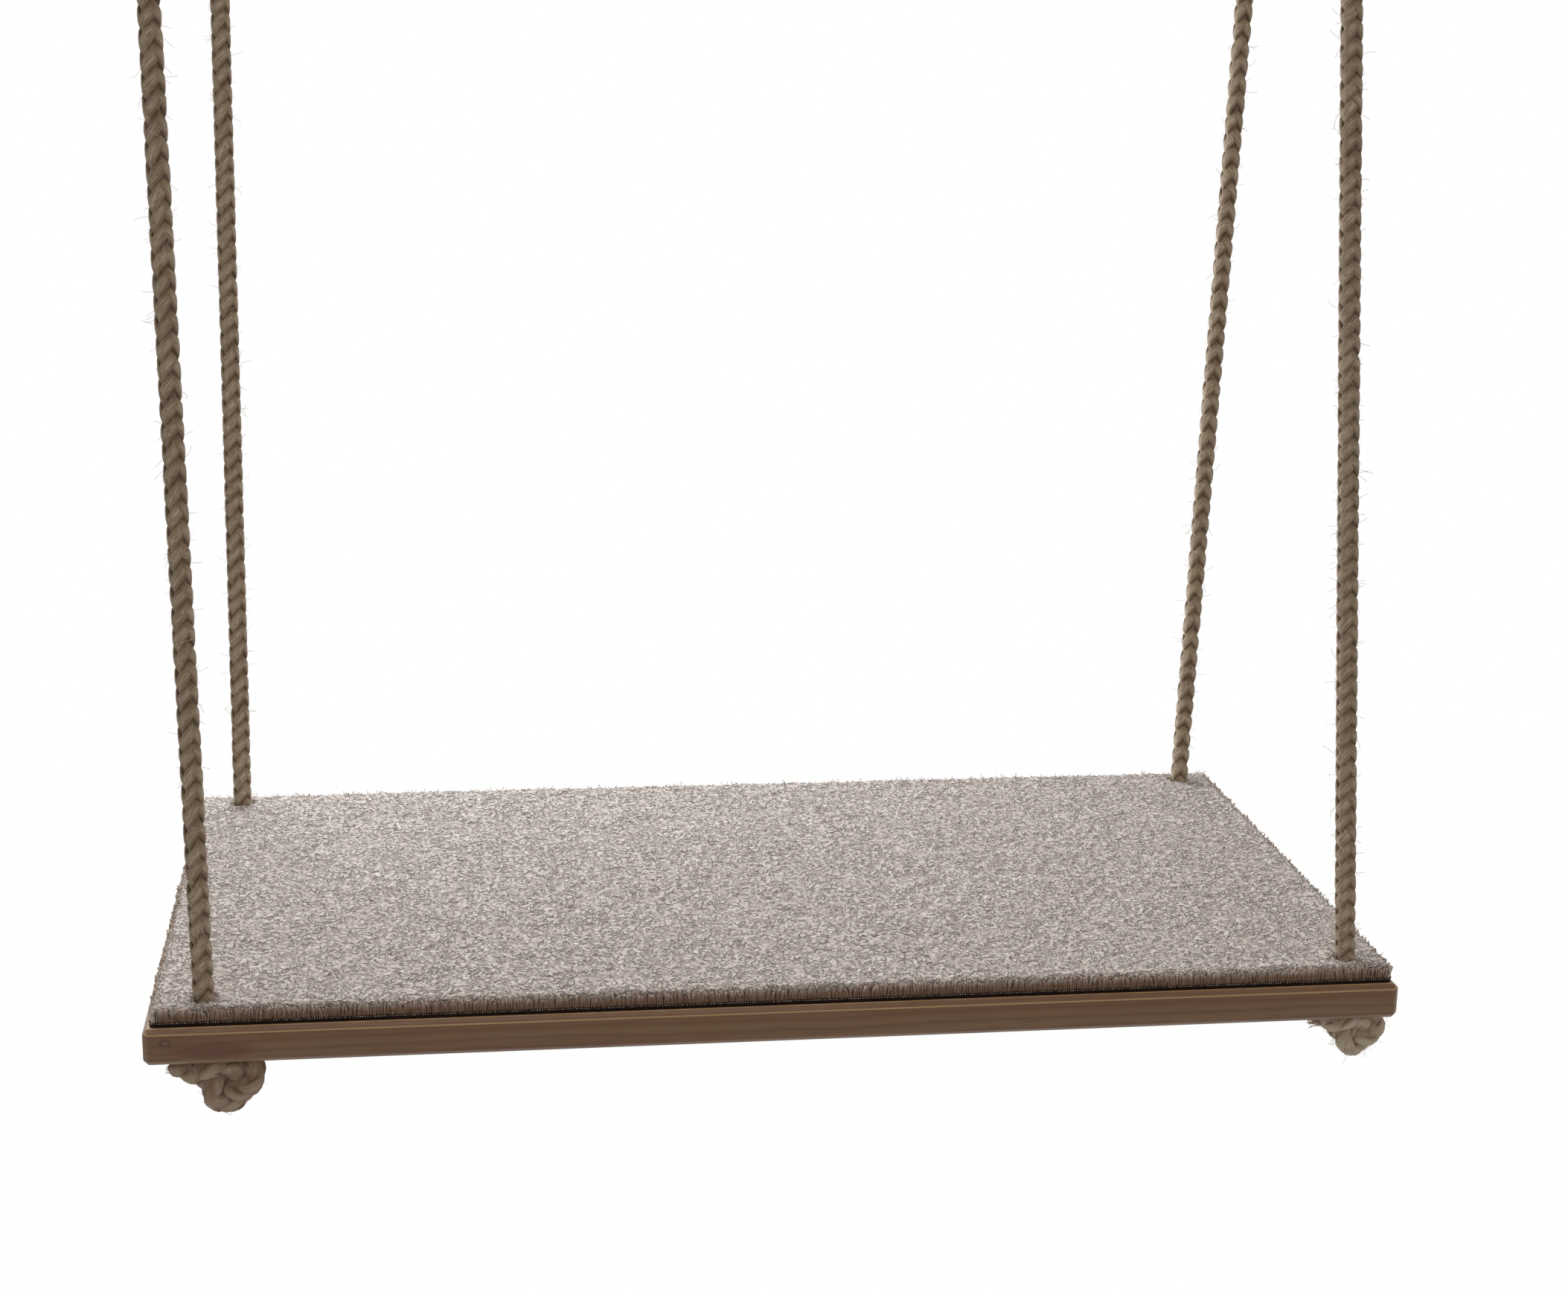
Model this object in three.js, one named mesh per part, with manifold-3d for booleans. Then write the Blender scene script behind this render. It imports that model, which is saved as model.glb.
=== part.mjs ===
// A hanging cat perch: a carpeted pine board slung from the ceiling on four plaited ropes.
// Each rope passes down through the carpet and the board to a stopper knot, and its upper end
// is a seized eye on a quick link, which hangs in the staple of a screwed plate.
// Millimetres, +Z up, X along the board, Y away from the viewer. The ceiling is the plane z = 0.
import * as THREE from "three";
import { mergeVertices } from "three/addons/utils/BufferGeometryUtils.js";
import Module from "manifold-3d";

const wasm = await Module();
wasm.setup();

// Board
const boardLength = 600;
const boardWidth = 320;
const boardThickness = 18;
const boardCorner = 2.5;
const boardEase = 2.6;
const holeFromEnd = 25;
const holeFromEdge = 17;
const holeRadius = 5.9;
const holeOffset = 2;

// Carpet
const carpetSetback = 3;
const carpetCorner = 3;
const backingThickness = 1.6;
const pileHeight = 7.9;
const pileEase = 1.6;

// Rope
const ropeRadius = 5;
const ropeSpan = 470;
const seat = 0.3;
const pivotDepth = 0.8;
const swayDegrees = 5;
// How far each hook is from over its hole, along the board.
const hookShift = { front_left: -6.5, back_left: 4, front_right: -37, back_right: 12 };
const guideRope = "front_left";

// Stopper knot, an overhand knot drawn tight under the board
const knotRopeRadius = 3.4;
const knotRingRadius = 8.9;
const knotWindRadius = 4.1;
const knotOffset = 10;
const knotDrop = 13.6;
const knotFlatShare = 0.95;
const knotTailReach = 18;
const knotTightenLength = 12;
const windStart = 10;
const windEnd = 330;
const windSteps = 22;
const lobeTurn = 150;
const knotEntryShift = 0.4;
const knotEntryShare = 1 / 3;
// Places along the tail, as shares of its reach to the left, its distance to the front and the drop.
const knotTail = [
  [0, 1.1, 0.43],
  [0.33, 0.9, 0.62],
  [0.67, 0.7, 0.5],
  [1, 0.5, 0.37],
];

// Eye at the rope's upper end, with its seizing of twine
const eyeArcRadius = 10;
const eyeHeight = 46;
const eyeTailSpacing = 0.4;
const seizingLength = 22;
const seizingWall = 2;
const seizingFromEnd = 4;
const seizingEase = 0.7;

// Quick link
const linkWireRadius = 2.5;
const linkArcRadius = 9.5;
const linkStraight = 20;
const sleeveLength = 13;
const sleeveRadius = 5;
const sleeveEase = 0.4;
const sleeveLift = 2.5;

// Ceiling plate with its staple and screws
const plateLength = 52;
const plateWidth = 22;
const plateThickness = 3;
const plateCorner = 7.3;
const plateEase = 0.5;
const stapleWireRadius = 2.5;
const stapleArcRadius = 9.5;
const stapleLeg = 7;
const screwSpacing = 38;
const screwShankRadius = 1.9;
const screwHeadRadius = 3.9;
const screwHeadDepth = 2.4;
const screwLength = 32;
const screwPointLength = 6;
const screwRecessRadius = 1.6;
const screwRecessDepth = 1.5;
const screwClearance = 0.3;
const overrun = 1;

// Facets
const roundSides = 12;
const wireSides = 8;
const holeSides = 16;
const nutSides = 6;
const arcSteps = 10;
const easeSteps = 2;
const seizingArcSteps = 5;
const eyeArcSteps = 6;
const eyeSteps = 24;
const spanSteps = 6;
const knotSteps = 52;

// Levels, downwards from the ceiling
const stapleBottom = -(plateThickness + stapleLeg + stapleArcRadius);
const linkTop = stapleBottom + stapleWireRadius + seat + linkWireRadius;
const linkBottom = linkTop - linkStraight - 2 * linkArcRadius;
const eyeTop = linkBottom + linkWireRadius + seat + ropeRadius;
const eyeEnd = eyeTop - eyeArcRadius - eyeHeight;
const ropePivot = eyeEnd - seat - ropeSpan - seat - ropeRadius;
const carpetTop = ropePivot + pivotDepth;
const boardTop = carpetTop - pileHeight - backingThickness;
const boardBottom = boardTop - boardThickness;

const pine = new THREE.MeshStandardMaterial({ color: 0xb98a5a, roughness: 0.6, metalness: 0 });
const pile = new THREE.MeshStandardMaterial({ color: 0xa79d95, roughness: 1, metalness: 0 });
const latex = new THREE.MeshStandardMaterial({ color: 0x241a17, roughness: 0.9, metalness: 0 });
const jute = new THREE.MeshStandardMaterial({ color: 0xa08c6c, roughness: 0.95, metalness: 0 });
const twine = new THREE.MeshStandardMaterial({ color: 0xc9bfa6, roughness: 0.9, metalness: 0 });
const zinc = new THREE.MeshStandardMaterial({ color: 0xb4b8bb, roughness: 0.35, metalness: 1 });

const part = new THREE.Group();

function addMesh(parent, name, geometry, material) {
  const mesh = new THREE.Mesh(geometry, material);
  mesh.name = name;
  parent.add(mesh);
  return mesh;
}

// Booleans

function solidOf(geometry) {
  const bare = geometry.index ? geometry.toNonIndexed() : geometry.clone();
  bare.deleteAttribute("normal");
  bare.deleteAttribute("uv");
  const merged = mergeVertices(bare);
  return new wasm.Manifold(
    new wasm.Mesh({
      numProp: 3,
      vertProperties: merged.attributes.position.array,
      triVerts: new Uint32Array(merged.index.array),
    }),
  );
}

function geometryOf(solid) {
  const mesh = solid.getMesh();
  const geometry = new THREE.BufferGeometry();
  geometry.setAttribute("position", new THREE.BufferAttribute(mesh.vertProperties, 3));
  geometry.setIndex(new THREE.BufferAttribute(mesh.triVerts, 1));
  geometry.computeVertexNormals();
  return geometry;
}

// Plane outlines

function roundedRectangle(length, width, corner, target = new THREE.Shape()) {
  const x = length / 2;
  const y = width / 2;
  target.moveTo(-x + corner, -y);
  target.lineTo(x - corner, -y);
  target.absarc(x - corner, -y + corner, corner, -Math.PI / 2, 0, false);
  target.lineTo(x, y - corner);
  target.absarc(x - corner, y - corner, corner, 0, Math.PI / 2, false);
  target.lineTo(-x + corner, y);
  target.absarc(-x + corner, y - corner, corner, Math.PI / 2, Math.PI, false);
  target.lineTo(-x, -y + corner);
  target.absarc(-x + corner, -y + corner, corner, Math.PI, 1.5 * Math.PI, false);
  return target;
}

function ringPoints(x, y, radius, sides) {
  return Array.from({ length: sides }, (_, i) => {
    const turn = (2 * Math.PI * i) / sides;
    return new THREE.Vector2(x + radius * Math.cos(turn), y + radius * Math.sin(turn));
  });
}

// A slab whose upper and lower arrises are eased, holes included.
function easedSlab(outline, thickness, ease, steps, curveSegments) {
  const geometry = new THREE.ExtrudeGeometry(outline, {
    depth: thickness - 2 * ease,
    bevelEnabled: true,
    bevelThickness: ease,
    bevelSize: ease,
    bevelOffset: -ease,
    bevelSegments: steps,
    curveSegments,
  });
  geometry.translate(0, 0, ease);
  return geometry;
}

// Tubes

function polygon(radius, sides) {
  return new THREE.Shape(ringPoints(0, 0, radius, sides));
}

function tubeAlong(curve, radius, sides, steps) {
  return new THREE.ExtrudeGeometry(polygon(radius, sides), {
    steps,
    bevelEnabled: false,
    extrudePath: curve,
  });
}

// A tube whose radius changes along the curve, with flat ends.
function taperedTube(curve, radiusAt, sides, steps) {
  const frames = curve.computeFrenetFrames(steps, false);
  const points = curve.getSpacedPoints(steps);
  const places = [];
  const faces = [];
  points.forEach((centre, i) => {
    const radius = radiusAt(i / steps);
    for (let side = 0; side < sides; side += 1) {
      const turn = (2 * Math.PI * side) / sides;
      const spoke = new THREE.Vector3()
        .addScaledVector(frames.normals[i], radius * Math.cos(turn))
        .addScaledVector(frames.binormals[i], radius * Math.sin(turn));
      places.push(...spoke.add(centre).toArray());
    }
  });
  for (let i = 0; i < steps; i += 1) {
    for (let side = 0; side < sides; side += 1) {
      const next = (side + 1) % sides;
      const a = i * sides + side;
      const b = i * sides + next;
      faces.push(a, b, a + sides, b, b + sides, a + sides);
    }
  }
  const last = steps * sides;
  for (let side = 1; side < sides - 1; side += 1) {
    faces.push(0, side + 1, side);
    faces.push(last, last + side, last + side + 1);
  }
  const geometry = new THREE.BufferGeometry();
  geometry.setAttribute("position", new THREE.Float32BufferAttribute(places, 3));
  geometry.setIndex(faces);
  geometry.computeVertexNormals();
  return geometry;
}

// An endless wire in the YZ plane: two straight legs joined by half rounds, centred on its upper arc.
function linkWire() {
  const centres = [];
  for (let i = 0; i <= arcSteps; i += 1) {
    const turn = (Math.PI * i) / arcSteps;
    centres.push([turn, 0]);
  }
  for (let i = 0; i <= arcSteps; i += 1) {
    const turn = Math.PI + (Math.PI * i) / arcSteps;
    centres.push([turn, -linkStraight]);
  }
  const places = [];
  const faces = [];
  centres.forEach(([turn, lift]) => {
    for (let side = 0; side < wireSides; side += 1) {
      const around = (2 * Math.PI * side) / wireSides;
      const reach = linkArcRadius + linkWireRadius * Math.cos(around);
      places.push(
        linkWireRadius * Math.sin(around),
        reach * Math.cos(turn),
        reach * Math.sin(turn) + lift,
      );
    }
  });
  for (let i = 0; i < centres.length; i += 1) {
    for (let side = 0; side < wireSides; side += 1) {
      const next = (side + 1) % wireSides;
      const a = i * wireSides + side;
      const b = i * wireSides + next;
      const ahead = ((i + 1) % centres.length) * wireSides;
      faces.push(a, ahead + side, b, b, ahead + side, ahead + next);
    }
  }
  const geometry = new THREE.BufferGeometry();
  geometry.setAttribute("position", new THREE.Float32BufferAttribute(places, 3));
  geometry.setIndex(faces);
  geometry.computeVertexNormals();
  return geometry;
}

// Board and carpet

const holePlaces = [-1, 1].flatMap((alongSide) =>
  [-1, 1].map((acrossSide) => ({
    name: `${acrossSide < 0 ? "front" : "back"}_${alongSide < 0 ? "left" : "right"}`,
    x: alongSide * (boardLength / 2 - holeFromEnd) + holeOffset,
    y: acrossSide * (boardWidth / 2 - holeFromEdge),
  })),
);

function pierced(outline, radius) {
  holePlaces.forEach(({ x, y }) => {
    outline.holes.push(new THREE.Path(ringPoints(x, y, radius, holeSides)));
  });
  return outline;
}

const boardOutline = pierced(
  roundedRectangle(boardLength, boardWidth, boardCorner + boardEase),
  holeRadius,
);
const board = addMesh(
  part,
  "board",
  easedSlab(boardOutline, boardThickness, boardEase, easeSteps, easeSteps),
  pine,
);
board.position.z = boardBottom;

const carpetLength = boardLength - 2 * carpetSetback;
const carpetWidth = boardWidth - 2 * carpetSetback;

const backing = addMesh(
  part,
  "carpet_backing",
  new THREE.ExtrudeGeometry(
    pierced(roundedRectangle(carpetLength, carpetWidth, carpetCorner), holeRadius),
    { depth: backingThickness, bevelEnabled: false, curveSegments: easeSteps },
  ),
  latex,
);
backing.position.z = boardTop;

// The pile is a slab with its upper arris rounded over. Its lower arris stays square on the backing.
function pileSlab() {
  const outline = (shrink) =>
    pierced(
      roundedRectangle(
        carpetLength - 2 * shrink,
        carpetWidth - 2 * shrink,
        carpetCorner - shrink,
      ),
      holeRadius + shrink,
    );
  const body = new THREE.ExtrudeGeometry(outline(0), {
    depth: pileHeight,
    bevelEnabled: false,
    curveSegments: easeSteps,
  });
  const rounded = easedSlab(outline(0), 2 * pileHeight, pileEase, easeSteps, easeSteps);
  rounded.translate(0, 0, -pileHeight);
  return geometryOf(solidOf(body).intersect(solidOf(rounded)));
}

const pileMesh = addMesh(part, "carpet_pile", pileSlab(), pile);
pileMesh.position.z = boardTop + backingThickness;

// Ceiling plate: a strap with two countersunk holes and a welded staple

function cone(lowRadius, highRadius, height) {
  return new THREE.LatheGeometry(
    [
      new THREE.Vector2(0, 0),
      new THREE.Vector2(lowRadius, 0),
      new THREE.Vector2(highRadius, height),
      new THREE.Vector2(0, height),
    ],
    roundSides,
  );
}

// A lathe's own axis is Y, and this stands it up along Z.
function upright(geometry) {
  return geometry.rotateX(Math.PI / 2);
}

function stapleCurve() {
  const path = new THREE.CurvePath();
  const top = -plateThickness / 2;
  const turnLevel = -(plateThickness + stapleLeg);
  path.add(
    new THREE.LineCurve3(
      new THREE.Vector3(-stapleArcRadius, 0, top),
      new THREE.Vector3(-stapleArcRadius, 0, turnLevel),
    ),
  );
  const bend = Array.from({ length: arcSteps + 1 }, (_, i) => {
    const turn = Math.PI + (Math.PI * i) / arcSteps;
    return new THREE.Vector3(
      stapleArcRadius * Math.cos(turn),
      0,
      turnLevel + stapleArcRadius * Math.sin(turn),
    );
  });
  bend.slice(1).forEach((point, i) => path.add(new THREE.LineCurve3(bend[i], point)));
  path.add(
    new THREE.LineCurve3(
      new THREE.Vector3(stapleArcRadius, 0, turnLevel),
      new THREE.Vector3(stapleArcRadius, 0, top),
    ),
  );
  const corners = path.curves.map((curve) => curve.v1);
  corners.push(path.curves[path.curves.length - 1].v2);
  return new THREE.CatmullRomCurve3(corners, false, "centripetal");
}

function ceilingPlate() {
  const strap = easedSlab(
    roundedRectangle(plateLength, plateWidth, plateCorner),
    plateThickness,
    plateEase,
    1,
    easeSteps,
  );
  strap.translate(0, 0, -plateThickness);
  let plate = solidOf(strap).add(
    solidOf(tubeAlong(stapleCurve(), stapleWireRadius, wireSides, 2 * arcSteps)),
  );
  [-1, 1].forEach((end) => {
    const bore = upright(
      new THREE.CylinderGeometry(
        screwShankRadius + screwClearance,
        screwShankRadius + screwClearance,
        plateThickness + 2 * overrun,
        roundSides,
      ),
    );
    bore.translate((end * screwSpacing) / 2, 0, -plateThickness / 2);
    const sink = cone(
      screwHeadRadius + screwClearance,
      screwShankRadius + screwClearance,
      screwHeadDepth,
    );
    upright(sink).translate((end * screwSpacing) / 2, 0, -plateThickness);
    const mouth = upright(
      new THREE.CylinderGeometry(
        screwHeadRadius + screwClearance,
        screwHeadRadius + screwClearance,
        overrun,
        roundSides,
      ),
    );
    mouth.translate((end * screwSpacing) / 2, 0, -plateThickness - overrun / 2);
    plate = plate.subtract(solidOf(bore)).subtract(solidOf(sink)).subtract(solidOf(mouth));
  });
  return geometryOf(plate);
}

// A countersunk wood screw, point up, its head flush with the plate's lower face.
function woodScrew() {
  const profile = [
    new THREE.Vector2(0, screwRecessDepth),
    new THREE.Vector2(screwRecessRadius, 0),
    new THREE.Vector2(screwHeadRadius, 0),
    new THREE.Vector2(screwShankRadius, screwHeadDepth - screwClearance / 2),
    new THREE.Vector2(screwShankRadius, screwLength - screwPointLength),
    new THREE.Vector2(0, screwLength),
  ];
  return upright(new THREE.LatheGeometry(profile, roundSides));
}

// Quick link sleeve: a long hexagon nut round the link's leg

function sleeveNut() {
  const outline = new THREE.Shape(ringPoints(0, 0, sleeveRadius, nutSides));
  outline.holes.push(new THREE.Path(ringPoints(0, 0, linkWireRadius + seat, wireSides)));
  const nut = new THREE.ExtrudeGeometry(outline, {
    depth: sleeveLength - 2 * sleeveEase,
    bevelEnabled: true,
    bevelThickness: sleeveEase,
    bevelSize: sleeveEase,
    bevelOffset: -sleeveEase,
    bevelSegments: 1,
  });
  nut.translate(0, 0, -sleeveLength / 2 + sleeveEase);
  return nut;
}

// Rope eye: the standing part rises, turns over the link and comes down beside itself.
// Places are from the link's lower bar, z = 0 at its centre.

const eyeTopInGroup = eyeTop - linkBottom;
const eyeArcCentre = eyeTopInGroup - eyeArcRadius;
const eyeEndInGroup = eyeEnd - linkBottom;
const seizingBottom = eyeEndInGroup + seizingFromEnd;
const tailX = 2 * ropeRadius + eyeTailSpacing;

function eyeCurve() {
  const points = [
    new THREE.Vector3(0, 0, eyeEndInGroup),
    new THREE.Vector3(0, 0, seizingBottom),
    new THREE.Vector3(0, 0, seizingBottom + seizingLength / 2),
    new THREE.Vector3(0, 0, seizingBottom + seizingLength),
  ];
  for (let i = 0; i <= eyeArcSteps; i += 1) {
    const turn = Math.PI - (Math.PI * i) / eyeArcSteps;
    points.push(
      new THREE.Vector3(
        eyeArcRadius * Math.cos(turn),
        0,
        eyeArcCentre + eyeArcRadius * Math.sin(turn),
      ),
    );
  }
  points.push(
    new THREE.Vector3(tailX, 0, seizingBottom + seizingLength),
    new THREE.Vector3(tailX, 0, seizingBottom + seizingLength / 2),
    new THREE.Vector3(tailX, 0, seizingBottom),
    new THREE.Vector3(tailX, 0, eyeEndInGroup),
  );
  return new THREE.CatmullRomCurve3(points, false, "centripetal");
}

// Seizing: a sleeve of twine turns round both parts of the rope
function seizing() {
  const stadium = (radius, target) => {
    target.absarc(0, 0, radius, Math.PI / 2, 1.5 * Math.PI, false);
    target.absarc(tailX, 0, radius, -Math.PI / 2, Math.PI / 2, false);
    return target;
  };
  const inner = ropeRadius + seat;
  const outline = stadium(inner + seizingWall, new THREE.Shape());
  outline.holes.push(stadium(inner, new THREE.Path()));
  const sleeve = new THREE.ExtrudeGeometry(outline, {
    depth: seizingLength - 2 * seizingEase,
    bevelEnabled: true,
    bevelThickness: seizingEase,
    bevelSize: seizingEase,
    bevelOffset: -seizingEase,
    bevelSegments: 1,
    curveSegments: seizingArcSteps,
  });
  sleeve.translate(0, 0, seizingBottom + seizingEase);
  return sleeve;
}

// Stopper knot. z = 0 is the board's underside on the hole's axis.
// The rope comes down the hole, winds twice round a ring and three times through it, which is
// an overhand knot, and its tail crosses in front of the standing part to the left.

function woundPoint(degrees) {
  const turn = THREE.MathUtils.degToRad(degrees);
  const about = 2 * turn + THREE.MathUtils.degToRad(lobeTurn);
  const reach = knotRingRadius + knotWindRadius * Math.cos(3 * turn);
  return new THREE.Vector3(
    knotOffset + reach * Math.cos(about),
    knotWindRadius * Math.sin(3 * turn),
    -knotDrop + knotFlatShare * reach * Math.sin(about),
  );
}

function knotCurve(rise) {
  const points = [
    new THREE.Vector3(0, 0, rise),
    new THREE.Vector3(0, 0, rise / 2),
    new THREE.Vector3(0, 0, 0),
    new THREE.Vector3(-knotEntryShift, 2 * knotEntryShift, -knotDrop * knotEntryShare),
  ];
  for (let i = 0; i <= windSteps; i += 1) {
    points.push(woundPoint(windStart + ((windEnd - windStart) * i) / windSteps));
  }
  const front = -2 * knotRopeRadius;
  knotTail.forEach(([leftShare, frontShare, dropShare]) => {
    points.push(
      new THREE.Vector3(-knotTailReach * leftShare, front * frontShare, -knotDrop * dropShare),
    );
  });
  return new THREE.CatmullRomCurve3(points, false, "centripetal");
}

function stopperKnot(clearance) {
  const rise = ropePivot - ropeRadius - seat - clearance - boardBottom;
  const curve = knotCurve(rise);
  const length = curve.getLength();
  const tight = THREE.MathUtils.smoothstep;
  return taperedTube(
    curve,
    (share) => {
      const past = tight(share * length, rise - knotTightenLength / 2, rise + knotTightenLength / 2);
      return ropeRadius + (knotRopeRadius - ropeRadius) * past;
    },
    wireSides,
    knotSteps,
  );
}

// The four ropes, each with all that it hangs from. They lean unlike each other, so as the perch
// sways with the first of them the rest draw up and down in their holes, and their knots leave
// room for it.
const draw = Math.sin(THREE.MathUtils.degToRad(swayDegrees));


holePlaces.forEach(({ name, x, y }) => {
  const shift = hookShift[name];

  const ceiling = new THREE.Group();
  ceiling.position.set(x + shift, y, 0);
  part.add(ceiling);
  addMesh(ceiling, `ceiling_plate_${name}`, ceilingPlate(), zinc);
  [-1, 1].forEach((end) => {
    const label = end < 0 ? "screw_a" : "screw_b";
    const screw = addMesh(ceiling, `${label}_${name}`, woodScrew(), zinc);
    screw.position.set((end * screwSpacing) / 2, 0, -plateThickness);
  });

  const link = new THREE.Group();
  link.position.z = linkTop - linkArcRadius;
  ceiling.add(link);
  addMesh(link, `quick_link_${name}`, linkWire(), zinc);
  const sleeve = addMesh(link, `link_sleeve_${name}`, sleeveNut(), zinc);
  sleeve.position.set(0, linkArcRadius, -linkStraight / 2 + sleeveLift);

  const fall = linkBottom - ropePivot;
  const ropeLine = Math.hypot(fall, shift);
  const rope = new THREE.Group();
  rope.position.z = linkBottom;
  rope.rotation.y = Math.atan2(shift, fall);
  ceiling.add(rope);
  addMesh(rope, `rope_eye_${name}`, tubeAlong(eyeCurve(), ropeRadius, wireSides, eyeSteps), jute);
  addMesh(rope, `seizing_${name}`, seizing(), twine);
  const spanTop = eyeEndInGroup - seat;
  const spanEnd = -ropeLine + ropeRadius + seat;
  const line = new THREE.LineCurve3(
    new THREE.Vector3(0, 0, spanTop),
    new THREE.Vector3(0, 0, spanEnd),
  );
  addMesh(rope, `rope_${name}`, tubeAlong(line, ropeRadius, roundSides, spanSteps), jute);

  const lower = new THREE.Group();
  lower.position.set(x, y, 0);
  part.add(lower);
  const neck = addMesh(
    lower,
    `rope_neck_${name}`,
    new THREE.SphereGeometry(ropeRadius, roundSides, wireSides),
    jute,
  );
  neck.position.z = ropePivot;
  const clearance = name === guideRope ? 0 : draw * Math.abs(shift - hookShift[guideRope]) + seat;
  const knot = addMesh(lower, `stopper_knot_${name}`, stopperKnot(clearance), jute);
  knot.position.z = boardBottom;
});

export default part;
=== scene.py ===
"""A hanging perch: a carpeted pine board on four plaited ropes, with knots below and links above.

Metres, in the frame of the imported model: +X along the board, +Y away from the camera, +Z up,
and the ceiling at z = 0.
"""

import math
from functools import partialmethod

import bmesh
import bpy
import numpy as np
from mathutils import Matrix, Vector


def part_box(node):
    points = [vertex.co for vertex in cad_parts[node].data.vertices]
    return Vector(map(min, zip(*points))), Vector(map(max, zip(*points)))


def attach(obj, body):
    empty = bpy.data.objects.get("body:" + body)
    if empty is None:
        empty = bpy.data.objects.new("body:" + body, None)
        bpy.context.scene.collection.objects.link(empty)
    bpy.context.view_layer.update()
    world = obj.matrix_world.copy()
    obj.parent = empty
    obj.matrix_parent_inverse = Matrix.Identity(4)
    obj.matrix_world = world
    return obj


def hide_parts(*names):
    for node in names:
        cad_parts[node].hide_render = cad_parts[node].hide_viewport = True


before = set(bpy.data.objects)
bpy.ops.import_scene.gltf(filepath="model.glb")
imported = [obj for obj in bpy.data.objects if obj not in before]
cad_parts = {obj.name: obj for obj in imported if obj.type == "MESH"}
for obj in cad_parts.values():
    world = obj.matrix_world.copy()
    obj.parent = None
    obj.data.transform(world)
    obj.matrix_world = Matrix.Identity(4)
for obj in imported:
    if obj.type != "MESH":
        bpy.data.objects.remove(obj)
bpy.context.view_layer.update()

MM = 0.001
FULL_TURN = 2 * math.pi
CORNERS = ("front_left", "back_left", "front_right", "back_right")


def by_corner(*values):
    """One value for each corner, in the order of CORNERS."""
    return dict(zip(CORNERS, values))


# Board and carpet, as in the part's source
BOARD_LOW, BOARD_HIGH = (Vector(corner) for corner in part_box("board"))
BOARD_TOP = BOARD_HIGH.z
BOARD_BOTTOM = BOARD_LOW.z
PILE_LOW, PILE_HIGH = (Vector(corner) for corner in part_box("carpet_pile"))
HOLE_RADIUS = 5.9 * MM
HOLES = by_corner(*((x * MM, y * MM) for x in (-273, 277) for y in (-143, 143)))

# The board's arrises: a chamfer, whose own edges are then eased
BOARD_CHAMFER = 2.5 * MM
BOARD_EASE = 0.45 * MM

# Ropes, as in the part's source. A hook's shift is how far it is to the right of its hole.
HOOK_SHIFT = by_corner(-6.5 * MM, 4 * MM, -37 * MM, 12 * MM)
ROPE_RADIUS = 5 * MM
SEAT = 0.3 * MM
LINK_BAR = -53.2 * MM
ROPE_PIVOT = -576.2 * MM
SWAY = math.radians(5)
NECK_REACH = 5.3 * MM
NECK_BODY = by_corner("neck_front_left", "rope_back_left", "rope_front_right", "rope_back_right")

# The plait: how many strands it has and how many sides each, how far a strand climbs in one turn,
# and the bearing of the column of strands that climb to the right, in degrees from +X
STRANDS = 8
STRAND_SIDES = 12
PLAIT_CYCLE = by_corner(37 * MM, 37 * MM, 33 * MM, 40 * MM)
PLAIT_BEARING = by_corner(-101, -94, -124, -140)

# Eyes and their seizings, from the link's bar. The twine is drawn a little full, so that its
# turns touch.
EYE_RISE = 7.8 * MM
EYE_ARC = 10 * MM
EYE_HEIGHT = 46 * MM
EYE_TAIL = 10.4 * MM
EYE_END = EYE_RISE - EYE_ARC - EYE_HEIGHT
SEIZING_START = EYE_END + 4 * MM
SEIZING_LENGTH = 22 * MM
TWINE_RADIUS = 0.85 * MM
TWINE_FULLNESS = 1.06
TWINE_SEAT = 0.9 * MM

# Knots: the ring that the rope goes round twice, how it winds about that ring, where the ring
# hangs, and how the rope comes to it. A knot that is drawn tighter is a smaller share of this.
KNOT_RING = 8.9 * MM
KNOT_WIND = 4.1 * MM
KNOT_OFFSET = 10 * MM
KNOT_DROP = 13.6 * MM
KNOT_FLAT = 0.95
KNOT_TURN = math.radians(150)
KNOT_FROM, KNOT_TO = 10, 330
KNOT_STEPS = 22
KNOT_ENTRY = (-0.4 * MM, 0.8 * MM, -KNOT_DROP / 3)
KNOT_ROPE = 4.9 * MM
BRUSH_RADIUS = KNOT_ROPE * 0.85
KNOT_FULLNESS = 1.25
KNOT_DRAW = by_corner(1.0, 0.97, 0.83, 0.9)
TAIL_LENGTH = by_corner(14 * MM, 15 * MM, 11 * MM, 12 * MM)
TAIL_FRONT = 6.8 * MM
FRAY = by_corner(4 * MM, 5 * MM, 7 * MM, 6 * MM)
EYE_FRAY = 4 * MM

# How finely the paths of spans, necks, and eyes and knots are laid out, and then their strands
SPAN_STEP = 4 * MM
NECK_STEP = 1 * MM
BEND_STEP = 1.2 * MM
STRAND_STEP = 1.5 * MM
NECK_STRAND_STEP = 1.2 * MM
KNOT_STRAND_STEP = 1.3 * MM

# Loose fibres: how many stand on a square metre, then how long they are, how thick as a share of
# that, how far they lean in radians, and how far their tips bend as a share of their length. A
# brush's length goes with the rope's end that it stands on.
ROPE_FUZZ = 7000
KNOT_FUZZ = by_corner(7000, 7000, 26000, 12000)
BRUSH_FUZZ = 6e6
ROPE_HABIT = (6.5 * MM, 0.016, 1.35, 0.6)
KNOT_HABIT = (4.5 * MM, 0.018, 1.35, 0.6)
BRUSH_HABIT = (0.024, 0.42, 0.25)

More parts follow.
